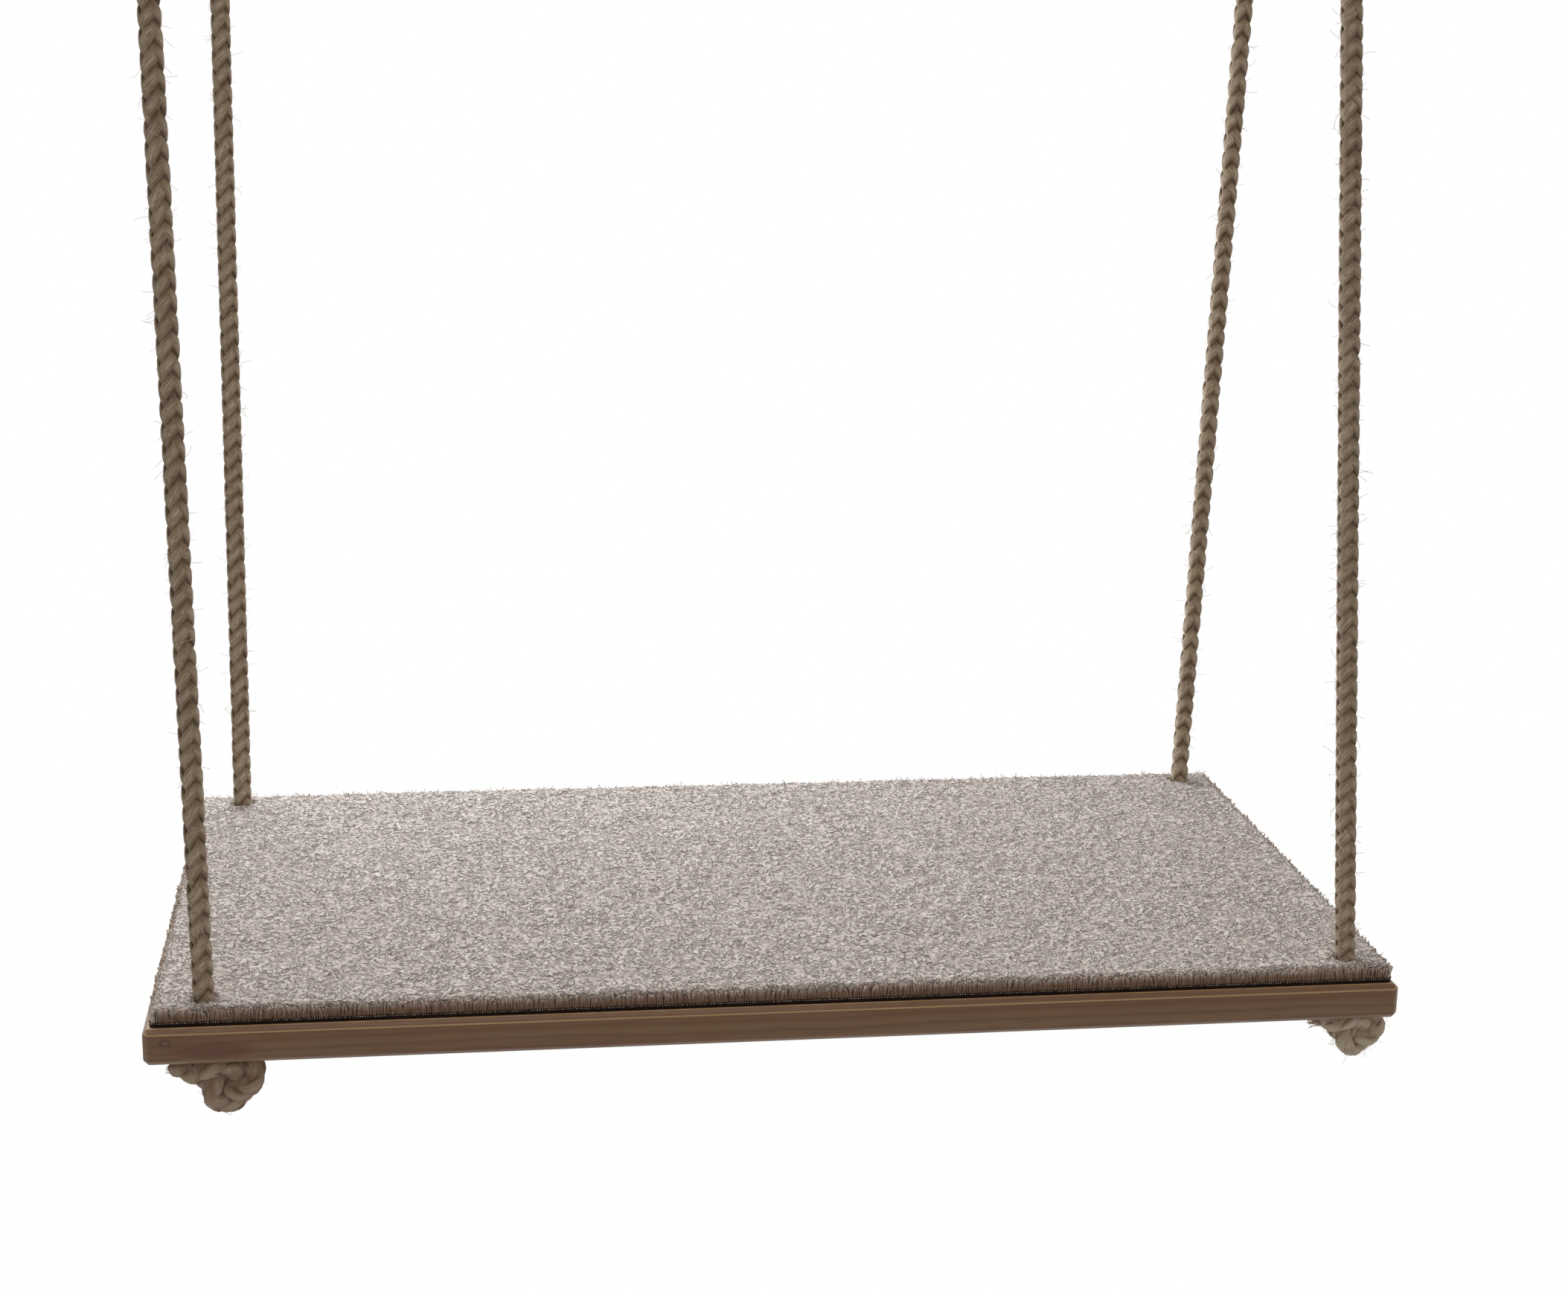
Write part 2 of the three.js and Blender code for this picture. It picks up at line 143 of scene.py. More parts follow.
# Hooks, as in the part's source
PLATE_LENGTH = 52 * MM
PLATE_WIDTH = 22 * MM
PLATE_THICKNESS = 3 * MM
PLATE_CORNER = 7.3 * MM
PLATE_EASE = 0.5 * MM
HOOK_WIRE = 2.5 * MM
HOOK_ARC = 9.5 * MM
STAPLE_TURN = -10 * MM
LINK_ARC_TOP = -23.7 * MM
LINK_ARC_LOW = -43.7 * MM
SLEEVE_LEVEL = -31.2 * MM
SLEEVE_RADIUS = 5 * MM
SLEEVE_LENGTH = 13 * MM
SCREW_SPACING = 38 * MM
SCREW_HEAD = 3.9 * MM
SCREW_LENGTH = 32 * MM
SCREW_POINT = 6 * MM

# Hooks, in this script alone: the staple's feet in its plate and the welds round them, the
# countersunk holes, the screws' and the links' threads, and the sleeve's ends and bore
STAPLE_FOOT = -1.5 * MM
WELD_LEVEL = -3.2 * MM
WELD_BEAD = 0.95 * MM
WELD_RIPPLE = 0.25 * MM
HEAD_CLEARANCE = 0.35 * MM
SCREW_HOLE = 2.1 * MM
SINK_TOP = -0.6 * MM
SCREW_SHANK = 1.75 * MM
SCREW_THREAD_START = 9 * MM
SCREW_PITCH = 2.3 * MM
SCREW_RIDGE = 0.38 * MM
LINK_THREAD_REACH = 4 * MM
LINK_THREAD_SINK = 0.05 * MM
LINK_PITCH = 0.9 * MM
LINK_RIDGE = 0.3 * MM
SLEEVE_EASE = 0.45 * MM
WIRE_CLEARANCE = 0.2 * MM


# Camera, fitted to the photograph. Its numbers are from the middle of the board's front edge.


def make_camera():
    pitch, yaw, roll = 0.25816, -0.14403, 0.0196
    offset = Vector((3.97928, 170.47, 1211.45)) * MM
    looking_back = Matrix(((1, 0, 0), (0, 0, -1), (0, 1, 0)))
    turn = (
        Matrix.Rotation(roll, 3, "Z")
        @ Matrix.Rotation(pitch, 3, "X")
        @ Matrix.Rotation(yaw, 3, "Y")
        @ looking_back
    )
    place = -(turn.transposed() @ offset) + Vector((0, BOARD_LOW.y, BOARD_TOP))
    across, down, ahead = turn
    data = bpy.data.cameras.new("camera")
    data.sensor_width = 36
    data.lens = 58.93
    data.clip_end = 30
    camera = bpy.data.objects.new("camera", data)
    bpy.context.scene.collection.objects.link(camera)
    basis = Matrix((across, -down, -ahead)).transposed().to_4x4()
    camera.matrix_world = Matrix.Translation(place) @ basis
    bpy.context.scene.camera = camera


make_camera()


# Node trees written as expressions


class Value:
    """A socket whose arithmetic adds Math nodes to its tree."""

    def __init__(self, tree, socket):
        self.tree = tree
        self.socket = socket

    def math(self, operation, *others, clamp=False):
        inputs = dict(enumerate((self, *others)))
        return self.tree.node("ShaderNodeMath", inputs, operation=operation, use_clamp=clamp)[0]

    def flipped(self, operation, other):
        return self.tree.node("ShaderNodeMath", {0: other, 1: self}, operation=operation)[0]

    __add__ = __radd__ = partialmethod(math, "ADD")
    __sub__ = partialmethod(math, "SUBTRACT")
    __rsub__ = partialmethod(flipped, "SUBTRACT")
    __mul__ = __rmul__ = partialmethod(math, "MULTIPLY")
    __truediv__ = partialmethod(math, "DIVIDE")
    __rtruediv__ = partialmethod(flipped, "DIVIDE")
    __pow__ = partialmethod(math, "POWER")
    __mod__ = partialmethod(math, "FLOORED_MODULO")
    __abs__ = partialmethod(math, "ABSOLUTE")
    sign = partialmethod(math, "SIGN")
    sin = partialmethod(math, "SINE")
    cos = partialmethod(math, "COSINE")
    sqrt = partialmethod(math, "SQRT")
    clamped = partialmethod(math, "ADD", 0, clamp=True)

    def band(self, low, high):
        """0 at low and below, 1 at high and above, smooth between."""
        inputs = {"Value": self, "From Min": low, "From Max": high}
        kind = "ShaderNodeMapRange"
        return self.tree.node(kind, inputs, interpolation_type="SMOOTHSTEP")["Result"]


def squares(a, b):
    return a * a + b * b


class Made:
    """A node, whose outputs are read by name or number."""

    def __init__(self, tree, node):
        self.tree = tree
        self.node = node

    def __getitem__(self, key):
        return Value(self.tree, self.node.outputs[key])


def linear(levels):
    """A colour in a picture's 0 to 255 levels, made linear."""
    return tuple((level / 255) ** 2.2 for level in levels)


class Tree:
    """Nodes that are made by their kind, their settings and their inputs."""

    def __init__(self, tree):
        self.tree = tree

    def node(self, kind, inputs=None, **settings):
        made = self.tree.nodes.new(kind)
        for name, setting in settings.items():
            setattr(made, name, setting)
        for key, value in (inputs or {}).items():
            if isinstance(value, Value):
                self.tree.links.new(value.socket, made.inputs[key])
            else:
                made.inputs[key].default_value = value
        return Made(self, made)

    def vector(self, operation, *inputs, scale=None):
        sockets = dict(enumerate(inputs))
        if scale is not None:
            sockets["Scale"] = scale
        return self.node("ShaderNodeVectorMath", sockets, operation=operation)[0]

    def parts(self, vector):
        made = self.node("ShaderNodeSeparateXYZ", {0: vector})
        return made[0], made[1], made[2]

    def joined(self, x, y, z):
        return self.node("ShaderNodeCombineXYZ", {0: x, 1: y, 2: z})[0]

    def noise(self, vector, scale, detail=2, roughness=0.5):
        inputs = {"Vector": vector, "Scale": scale, "Detail": detail, "Roughness": roughness}
        return self.node("ShaderNodeTexNoise", inputs)["Fac"]

    def seen(self):
        """1 for the rays that show a thing, 0 for the rays that light others by it."""
        path = self.node("ShaderNodeLightPath")
        rays = path["Is Camera Ray"] + path["Is Glossy Ray"] + path["Is Transmission Ray"]
        return rays.clamped()


class Finish(Tree):
    """A material: a tree that ends in one Principled BSDF."""

    def __init__(self, name):
        self.material = bpy.data.materials.new(name)
        self.material.use_nodes = True
        super().__init__(self.material.node_tree)
        self.shader = self.tree.nodes["Principled BSDF"]
        self.place = self.node("ShaderNodeTexCoord")["Object"]

    def stretched(self, x, y, z):
        return self.node("ShaderNodeMapping", {"Vector": self.place, "Scale": (x, y, z)})[0]

    def attribute(self, name):
        return self.node("ShaderNodeAttribute", attribute_name=name)

    def layered(self, colour, *layers):
        """A colour with others mixed in over it, each given as a factor and a colour."""
        for factor, over in layers:
            inputs = {0: factor, 7: (*linear(over), 1)}
            inputs[6] = colour if isinstance(colour, Value) else (*linear(colour), 1)
            colour = self.node("ShaderNodeMix", inputs, data_type="RGBA")[2]
        return colour

    def give(self, **sockets):
        for name, value in sockets.items():
            socket = self.shader.inputs[name.replace("_", " ")]
            if isinstance(value, Value):
                self.tree.links.new(value.socket, socket)
            elif isinstance(value, tuple):
                socket.default_value = (*value, 1)
            else:
                socket.default_value = value

    def ended(self, height, depth):
        """The material, with a bump of this height in it."""
        inputs = {"Height": height, "Distance": depth, "Strength": 1}
        self.give(Normal=self.node("ShaderNodeBump", inputs)[0])
        return self.material


# Finishes

# Places in the wood, from the middle of the board's top. A small knot in the front face and the
# reddish blush beside it are given along the board and up. The heart of the tree, which is in
# front of the board and below it, is given across the board and up.
WOOD_KNOT = (-289.7 * MM, -6.6 * MM)
KNOT_STRETCH = 1.35
BLUSH = (-268 * MM, -10.5 * MM)
BLUSH_SIZE = (22 * MM, 5 * MM)
HEART = (-210 * MM, -61 * MM)
YEAR = 3.4 * MM


def pine():
    finish = Finish("oiled pine")
    x, y, z = finish.parts(finish.place)
    z = z - BOARD_TOP
    knot = squares((x - WOOD_KNOT[0]) / KNOT_STRETCH, z - WOOD_KNOT[1]).sqrt()
    near_knot = (1 - knot.band(0.003, 0.014)) * (1 - y.band(-0.13, -0.09))
    around = knot + (finish.noise(finish.place, 700, 3, 0.6) - 0.5) * 0.0022
    rim = around.band(0.0006, 0.0014) * (1 - around.band(0.0014, 0.003)) * near_knot
    heartwood = (1 - around.band(0.0004, 0.0011)) * near_knot

    wander = finish.noise(finish.stretched(3, 9, 14), 1.2, 3) - 0.5
    ripple = finish.noise(finish.stretched(14, 60, 60), 1.3, 2) - 0.5
    ring = squares(y - HEART[0], z - HEART[1]).sqrt()
    ring = ring + wander * 0.012 + ripple * 0.0012 + near_knot * 0.004
    year = (ring / YEAR) % 1
    late = year.band(0.35, 0.9) * (1 - year.band(0.93, 1.0))
    fleck = finish.noise(finish.stretched(35, 700, 700), 1.0, 3, 0.6)
    patch = finish.noise(finish.stretched(2.2, 16, 30), 1.6, 3, 0.55)

    # A painted golden band along the top of the front face, standing in for the light that falls on
    # it there
    top_light_band = z.band(-0.0085, -0.0035)
    blush = squares((x - BLUSH[0]) / BLUSH_SIZE[0], (z - BLUSH[1]) / BLUSH_SIZE[1])
    blush = (1 - blush.band(0.1, 1.2)) * (1 - y.band(-0.15, -0.12))
    facing = finish.parts(finish.node("ShaderNodeNewGeometry")["Normal"])
    end = (facing[0] * facing[0]).band(0.6, 0.95)
    # Painted highlights along the eased edges of the chamfer, standing in for the light that these
    # rounded edges catch
    lower_arris_highlight = facing[2].band(0.08, 0.25) * (1 - facing[2].band(0.5, 0.66))
    upper_arris_highlight = facing[2].band(0.78, 0.86) * (1 - facing[2].band(0.97, 0.995))
    colour = finish.layered(
        (134, 106, 80),
        (late * 0.6, (104, 76, 52)),
        (patch.band(0.42, 0.72) * 0.6, (112, 78, 58)),
        ((1 - patch.band(0.2, 0.42)) * 0.4, (124, 100, 74)),
        (fleck.band(0.5, 0.78) * 0.4, (86, 62, 44)),
        (top_light_band * 0.45, (106, 70, 40)),
        (blush * 0.7, (98, 56, 40)),
        (near_knot.band(0.2, 1.0) * 0.3, (106, 72, 52)),
        (rim * 0.55, (66, 38, 30)),
        (heartwood * 0.5, (124, 100, 88)),
        (end * 0.4, (98, 68, 46)),
        ((lower_arris_highlight + upper_arris_highlight).clamped() * 0.75, (206, 172, 128)),
    )
    finish.give(Base_Color=colour, Roughness=0.4 + fleck * 0.16, Specular_IOR_Level=0.45)
    return finish.ended(late * 0.25 + fleck * 0.6 + rim * -0.6, 0.0002)


def shaded_cut_depth(finish, place, low, high):
    """How far down the front or back edge a place is, for the brown painted shade there; the ends
    stay pale.
    """
    x, _, z = finish.parts(place)
    end = abs(x).band(PILE_HIGH.x - 0.0045, PILE_HIGH.x - 0.0018)
    return (PILE_HIGH.z - z).band(low, high) * (1 - end)


def carpet():
    """Short heathered yarn, on the resting place that the tufts' tree stores."""
    # The third colour is painted shade in the furrows and between the tufts, and the fourth is
    # painted shade on the cut edges
    pale, dull, crease_shade, cut_shade = (214, 207, 203), (180, 170, 165), (122, 104, 97), (136, 104, 84)
    finish = Finish("heathered pile")
    rest = finish.attribute("rest")["Vector"]
    height = finish.attribute("tuft")["Fac"]
    curl = (finish.noise(rest, 300, 2) - 0.5) * 0.0016
    bent = finish.vector("ADD", rest, finish.joined(curl, curl * -0.8, curl))
    worm = abs(finish.noise(bent, 360, 1, 0.4) - 0.5)
    open_pile = finish.noise(rest, 110, 2).band(0.3, 0.6) * 0.45 + 0.55
    # Furrows, sunk by the bump and darkened with painted shade
    shaded_furrow = (1 - worm.band(0.0, 0.1)) * open_pile
    fibre = finish.noise(finish.place, 1100, 2, 0.6)
    mottle = finish.noise(rest, 520, 2, 0.6)
    broad = finish.noise(rest, 14, 2)
    colour = finish.layered(
        dull,
        (mottle.band(0.35, 0.65), pale),
        (broad.band(0.35, 0.7) * 0.1, dull),
        (fibre.band(0.3, 0.75) * 0.25, pale),
        # Painted shade in the furrows
        (shaded_furrow * 0.55, crease_shade),
        # Painted shade down the cut front and back edges
        (shaded_cut_depth(finish, rest, 0.0008, 0.0048) * 0.85, cut_shade),
        # Painted shade low between the tufts
        ((1 - height.band(0.15, 0.65)) * 0.25, crease_shade),
    )
    finish.give(Base_Color=colour, Roughness=0.95, Sheen_Weight=0.2, Sheen_Roughness=0.5)
    finish.give(Specular_IOR_Level=0.15)
    return finish.ended(shaded_furrow * -1.0 + mottle * 0.7 + fibre * 0.2, 0.0013)


def yarn_end():
    finish = Finish("cut yarn")
    shade = finish.noise(finish.place, 300, 3, 0.7)
    colour = finish.layered(
        (170, 154, 144),
        (shade.band(0.32, 0.68), (222, 211, 202)),
        # Painted shade down the cut front and back edges
        (shaded_cut_depth(finish, finish.place, 0.0006, 0.0056) * 0.8, (126, 93, 70)),
    )
    finish.give(Base_Color=colour, Roughness=0.95, Sheen_Weight=0.1, Specular_IOR_Level=0.15)
    return finish.ended(shade, 0.0003)


def jute(name, low, high, tuck_shade, stray_and_highlight):
    """Plaited rope: dull fibres on each strand, painted shade where it tucks under, painted
    highlights.
    """
    finish = Finish(name)
    out, side, _ = finish.parts(finish.attribute("around")["Vector"])
    along, strand, lift = finish.parts(finish.attribute("run")["Vector"])
    line = finish.joined(side * 1.3 + strand * 5.3, out * 1.3, along * 55)
    fibre = finish.noise(line, 5.5, 4, 0.65)
    fine = finish.noise(finish.joined(side * 4 + strand * 3.1, out * 4, along * 130), 9, 3, 0.7)
    patch = finish.noise(finish.place, 34, 3, 0.6)
    tone = finish.noise(finish.joined(strand * 7.7, along * 25, 0.0), 1.0, 1)
    flank = side * side
    # A painted highlight along the raised middle of each strand
    ridge_highlight = lift.band(0.3, 0.9) * (1 - flank.band(0.1, 0.5)) * fibre.band(0.42, 0.6)
    colour = finish.layered(
        low,
        (fibre.band(0.3, 0.72), high),
        (patch.band(0.4, 0.75) * 0.4, low),
        (tone.band(0.35, 0.65) * 0.5, low),
        # Painted shade at the strands' flanks, a painted highlight on their ridges, then painted
        # shade on their inner faces and where they tuck under others
        (flank.band(0.55, 0.98) * 0.38, tuck_shade),
        (ridge_highlight * 0.5, stray_and_highlight),
        ((1 - out.band(-0.5, 0.45)) * 0.8, tuck_shade),
        ((1 - lift.band(-0.9, 0.1)) * 0.45, tuck_shade),
        (fine.band(0.6, 0.75) * 0.55, stray_and_highlight),
    )
    finish.give(Base_Color=colour, Roughness=0.8, Sheen_Weight=0.4, Sheen_Roughness=0.4)
    finish.give(Specular_IOR_Level=0.2)
    return finish.ended(fibre * 0.8 + fine * 0.6, 0.0004)


def plain_fibre(name, low, high):
    finish = Finish(name)
    shade = finish.noise(finish.place, 420, 2, 0.6)
    colour = finish.layered(low, (shade.band(0.3, 0.7), high))
    finish.give(Base_Color=colour, Roughness=0.9, Specular_IOR_Level=0.15)
    return finish.ended(shade, 0.0002)


def zinc(name, tone, roughness):
    finish = Finish(name)
    spangle = finish.noise(finish.place, 260, 3, 0.6)
    smear = finish.noise(finish.stretched(40, 40, 12), 3, 3, 0.6)
    dull = tuple(level * 0.72 ** (1 / 2.2) for level in tone)  # 0.72 of the tone, made linear
    colour = finish.layered(
        tone,
        (spangle.band(0.3, 0.75) * 0.35, dull),
        (smear.band(0.55, 0.8) * 0.2, (168, 160, 140)),
    )
    finish.give(Base_Color=colour, Metallic=1.0, Roughness=smear * 0.18 + roughness)
    return finish.ended(spangle, 0.00004)


PINE = pine()
CARPET = carpet()
YARN_END = yarn_end()
BACKING = plain_fibre("dark backing", (24, 15, 12), (44, 31, 26))
STITCH = plain_fibre("backing yarn", (150, 140, 130), (205, 196, 184))
# In each jute the third colour is painted shade, and the fourth is both stray fibres and a painted
# highlight
JUTE = jute("plaited jute", (152, 129, 104), (222, 205, 180), (94, 73, 55), (248, 242, 226))
KNOT_JUTE = jute("knotted jute", (170, 146, 124), (202, 182, 160), (132, 106, 86), (226, 214, 198))
PALE_JUTE = jute("frayed jute", (206, 188, 164), (242, 230, 208), (160, 138, 116), (250, 245, 234))
LOOSE = plain_fibre("loose jute fibres", (200, 184, 156), (240, 232, 214))
TWINE = plain_fibre("waxed twine", (176, 160, 126), (216, 204, 174))
ZINC = zinc("bright zinc", (160, 163, 168), 0.32)
SCREW_ZINC = zinc("yellowed zinc", (180, 164, 118), 0.34)
KNOT_FINISH = by_corner(KNOT_JUTE, KNOT_JUTE, PALE_JUTE, PALE_JUTE)


# Meshes


def linked(name, mesh):
    piece = bpy.data.objects.new(name, mesh)
    bpy.context.scene.collection.objects.link(piece)
    return piece


def mesh_of(name, solid):
    """A mesh from a bmesh, which is freed."""
    mesh = bpy.data.meshes.new(name)
    solid.to_mesh(mesh)
    solid.free()
    return mesh


def shape(name, points, edges=(), faces=()):
    mesh = bpy.data.meshes.new(name)
    mesh.from_pydata([tuple(map(float, point)) for point in points], list(edges), list(faces))
    return linked(name, mesh)


def chain(name, points, closed=False, column=None):
    """A line through points, for a tree to follow, with the plait's bearing if it has one."""
    count = len(points)
    edges = [(i, i + 1) for i in range(count - 1)]
    if closed:
        edges.append((count - 1, 0))
    line = shape(name, points, edges)
    if column is not None:
        kept = line.data.attributes.new("column", "FLOAT_VECTOR", "POINT")
        kept.data.foreach_set("vector", [n for v in carried(points, column) for n in v])
    return line


def carried(points, direction):
    """A direction kept square to a line, and carried along it without twist."""
    directions = []
    for i in range(len(points)):
        along = (points[min(i + 1, len(points) - 1)] - points[max(i - 1, 0)]).normalized()
        direction = (direction - along * direction.dot(along)).normalized()
        directions.append(direction)
    return directions


def settled(piece, smooth=True):
    """The piece with its modifiers applied, as a plain mesh."""
    graph = bpy.context.evaluated_depsgraph_get()
    mesh = bpy.data.meshes.new_from_object(piece.evaluated_get(graph))
    mesh.name = piece.name
    old = piece.data
    piece.modifiers.clear()
    piece.data = mesh
    bpy.data.meshes.remove(old)
    mesh.polygons.foreach_set("use_smooth", [smooth] * len(mesh.polygons))
    return piece


def grown(piece, tree, **inputs):
    """The mesh that a tree of geometry nodes makes from the piece."""
    modifier = piece.modifiers.new("grow", "NODES")
    modifier.node_group = tree
    named = {
        item.name: item.identifier
        for item in tree.interface.items_tree
        if item.item_type == "SOCKET" and item.in_out == "INPUT"
    }
    for name, value in inputs.items():
        modifier[named[name]] = value
    return settled(piece)


def merged(name, pieces):
    """One piece from several, which are taken away."""
    joined = bmesh.new()
    slots = []
    for piece in pieces:
        start = len(joined.faces)
        joined.from_mesh(piece.data)
        joined.faces.ensure_lookup_table()
        materials = list(piece.data.materials)
        slots += [material for material in materials if material not in slots]
        own = [slots.index(material) for material in materials]
        for face in joined.faces[start:]:
            face.material_index = own[face.material_index] if own else 0
    mesh = mesh_of(name, joined)
    for material in slots:
        mesh.materials.append(material)
    for piece in pieces:
        old = piece.data
        bpy.data.objects.remove(piece)
        bpy.data.meshes.remove(old)
    return linked(name, mesh)


def eased(piece, width, segments, angle):
    """The piece with its arrises bevelled, where its faces turn by more than the angle."""
    ease = piece.modifiers.new("ease", "BEVEL")
    ease.limit_method = "ANGLE"
    ease.angle_limit = math.radians(angle)
    ease.width = width
    ease.segments = segments
    return piece


def cut_with(piece, tools, sharp=35):
    for tool in tools:
        bore = piece.modifiers.new("bore", "BOOLEAN")
        bore.operation = "DIFFERENCE"
        bore.solver = "EXACT"
        bore.object = tool
    settled(piece)
    for tool in tools:
        bpy.data.objects.remove(tool)
    piece.data.set_sharp_from_angle(angle=math.radians(sharp))
    return piece


def placed(piece, matrix):
    piece.data.transform(matrix)
    return piece


def ready(piece, body, material=None, stands_for=()):
    """Finish a piece: its material, its body and the nodes that it stands for."""
    if material:
        piece.data.materials.clear()
        piece.data.materials.append(material)
    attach(piece, body)
    if stands_for:
        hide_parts(*stands_for)
    return piece


# Trees of geometry nodes


class Growth(Tree):
    """A geometry tree, whose inputs are made as they are asked for."""

    def __init__(self, name):
        super().__init__(bpy.data.node_groups.new(name, "GeometryNodeTree"))
        for way in ("INPUT", "OUTPUT"):
            self.tree.interface.new_socket(
                "Geometry", in_out=way, socket_type="NodeSocketGeometry"
            )
        self.way_in = self.tree.nodes.new("NodeGroupInput")
        self.way_out = self.tree.nodes.new("NodeGroupOutput")

    def given(self, name="Geometry"):
        return Value(self, self.way_in.outputs[name])

    def asked(self, *names, kind="Float"):
        for name in names:
            self.tree.interface.new_socket(name, in_out="INPUT", socket_type=f"NodeSocket{kind}")
        return [self.given(name) for name in names]

    def line(self):
        return self.node("GeometryNodeMeshToCurve", {"Mesh": self.given()})[0]

    def spaced(self, spacing):
        """Points along the piece's line."""
        inputs = {"Curve": self.line(), "Length": spacing}
        return self.node("GeometryNodeCurveToPoints", inputs, mode="LENGTH")["Points"]

    def ring(self, sides, radius):
        inputs = {"Resolution": sides, "Radius": radius}
        return self.node("GeometryNodeCurvePrimitiveCircle", inputs, mode="RADIUS")["Curve"]

    def arc(self, steps, middle, end):
        inputs = {"Resolution": steps, "Start": (0, 0, 0), "Middle": middle, "End": end}
        return self.node("GeometryNodeCurveQuadraticBezier", inputs)[0]

    def swept(self, line, ring, **inputs):
        inputs |= {"Curve": line, "Profile Curve": ring, "Fill Caps": True}
        return self.node("GeometryNodeCurveToMesh", inputs)[0]

    def copied(self, points, instance, **inputs):
        inputs |= {"Points": points, "Instance": instance}
        return self.node("GeometryNodeInstanceOnPoints", inputs)[0]

    def chance(self, seed, low, high):
        made = self.node("FunctionNodeRandomValue", {"Seed": seed}, data_type="FLOAT")
        made.node.inputs[2].default_value = low
        made.node.inputs[3].default_value = high
        return made[1]

    def leaning(self, seed, lean):
        """A small turn about X and Y by chance, and any turn about Z."""
        x, y = (self.chance(seed + offset, -1, 1) * lean for offset in (1, 2))
        turn = self.joined(x, y, self.chance(seed + 3, 0, FULL_TURN))
        return self.node("FunctionNodeEulerToRotation", {0: turn})[0]

    def stored(self, geometry, name, value, data_type="FLOAT"):
        made = self.node(
            "GeometryNodeStoreNamedAttribute",
            {"Geometry": geometry, "Name": name},
            data_type=data_type,
            domain="POINT",
        )
        socket = next(s for s in made.node.inputs if s.name == "Value" and s.enabled)
        self.tree.links.new(value.socket, socket)
        return made["Geometry"]

    def named(self, name):
        kind = "GeometryNodeInputNamedAttribute"
        return self.node(kind, {"Name": name}, data_type="FLOAT_VECTOR")["Attribute"]

    def ended(self, geometry):
        """The tree, with its copies made real and its material asked for."""
        [material] = self.asked("Material", kind="Material")
        real = self.node("GeometryNodeRealizeInstances", {"Geometry": geometry})[0]
        painted = self.node("GeometryNodeSetMaterial", {"Geometry": real, "Material": material})[0]
        self.tree.links.new(painted.socket, self.way_out.inputs["Geometry"])
        return self.tree


def plaited_rope_tree():
    """Eight flat strands plaited along a line, four climbing each way, in four columns."""
    growth = Growth("plaited rope")
    radius, cycle, spacing, start, fullness = growth.asked(
        "Radius", "Cycle", "Spacing", "Start", "Fullness"
    )
    line = growth.node(
        "GeometryNodeResampleCurve", {"Curve": growth.line(), "Length": spacing}, mode="LENGTH"
    )[0]
    copies = growth.node(
        "GeometryNodeDuplicateElements", {"Geometry": line, "Amount": STRANDS}, domain="SPLINE"
    )
    number = copies["Duplicate Index"]
    way = 1 - (number % 2) * 2
    quarter = (number * 0.5).math("FLOOR") * (FULL_TURN / 4)
    length = growth.node("GeometryNodeSplineParameter")["Length"] + start
    wander = growth.noise(growth.joined(length * 60, number * 3.7, 0.0), 1.0, 1) - 0.5
    angle = length / cycle * FULL_TURN * way + quarter + wander * 1.1
    over = (angle * 2).cos() * way
    lift = over * (1.5 - over * over * 0.5)
    reach = (lift * 0.2 + 0.57) * radius
    column = growth.named("column")
    tangent = growth.node("GeometryNodeInputTangent")[0]
    across = growth.vector("CROSS_PRODUCT", tangent, column)
    outward = growth.vector(
        "ADD",
        growth.vector("SCALE", column, scale=angle.cos()),
        growth.vector("SCALE", across, scale=angle.sin()),
    )
    strands = growth.stored(copies["Geometry"], "outward", outward, "FLOAT_VECTOR")
    run = growth.joined(length, number, lift)
    strands = growth.stored(strands, "run", run, "FLOAT_VECTOR")
    strands = growth.node(
        "GeometryNodeSetPosition",
        {"Geometry": strands, "Offset": growth.vector("SCALE", outward, scale=reach)},
    )[0]

    # Each strand stays flat against the rope
    outward = growth.named("outward")
    tangent = growth.node("GeometryNodeInputTangent")[0]
    slope = growth.node(
        "ShaderNodeVectorMath", {0: outward, 1: tangent}, operation="DOT_PRODUCT"
    )["Value"]
    square = growth.vector("SUBTRACT", outward, growth.vector("SCALE", tangent, scale=slope))
    strands = growth.node(
        "GeometryNodeSetCurveNormal",
        {"Curve": strands, "Normal": growth.vector("NORMALIZE", square)},
        mode="FREE",
    )[0]
    turn = growth.node("GeometryNodeSplineParameter")["Factor"] * FULL_TURN
    out, side = turn.cos(), turn.sin()
    plump = abs(out) ** 0.85 * out.sign()
    outline = growth.joined(plump * radius * 0.25, side * radius * 0.56, 0.0)
    ring = growth.node(
        "GeometryNodeSetPosition", {"Geometry": growth.ring(STRAND_SIDES, 1.0), "Position": outline}
    )[0]
    ring = growth.stored(ring, "around", growth.joined(out, side, 0.0), "FLOAT_VECTOR")
    place = growth.node("GeometryNodeInputPosition")[0]
    swell = ((growth.noise(place, 110, 2) - 0.5) * 0.4 + 1) * fullness
    body = growth.swept(strands, ring, Scale=swell)
    core = growth.swept(line, growth.ring(8, radius * fullness * 0.7))
    whole = growth.node("GeometryNodeJoinGeometry", {0: core})
    growth.tree.links.new(body.socket, whole.node.inputs[0])
    body = whole[0]
    for spent in ("column", "outward"):
        body = growth.node("GeometryNodeRemoveAttribute", {"Geometry": body, "Name": spent})[0]
    return growth.ended(body)


def wire_tree():
    """A round wire along a line."""
    growth = Growth("wire")
    [radius] = growth.asked("Radius")
    [sides] = growth.asked("Sides", kind="Int")
    line = growth.node(
        "GeometryNodeSetCurveNormal", {"Curve": growth.line()}, mode="MINIMUM_TWIST"
    )[0]
    return growth.ended(growth.swept(line, growth.ring(sides, radius)))


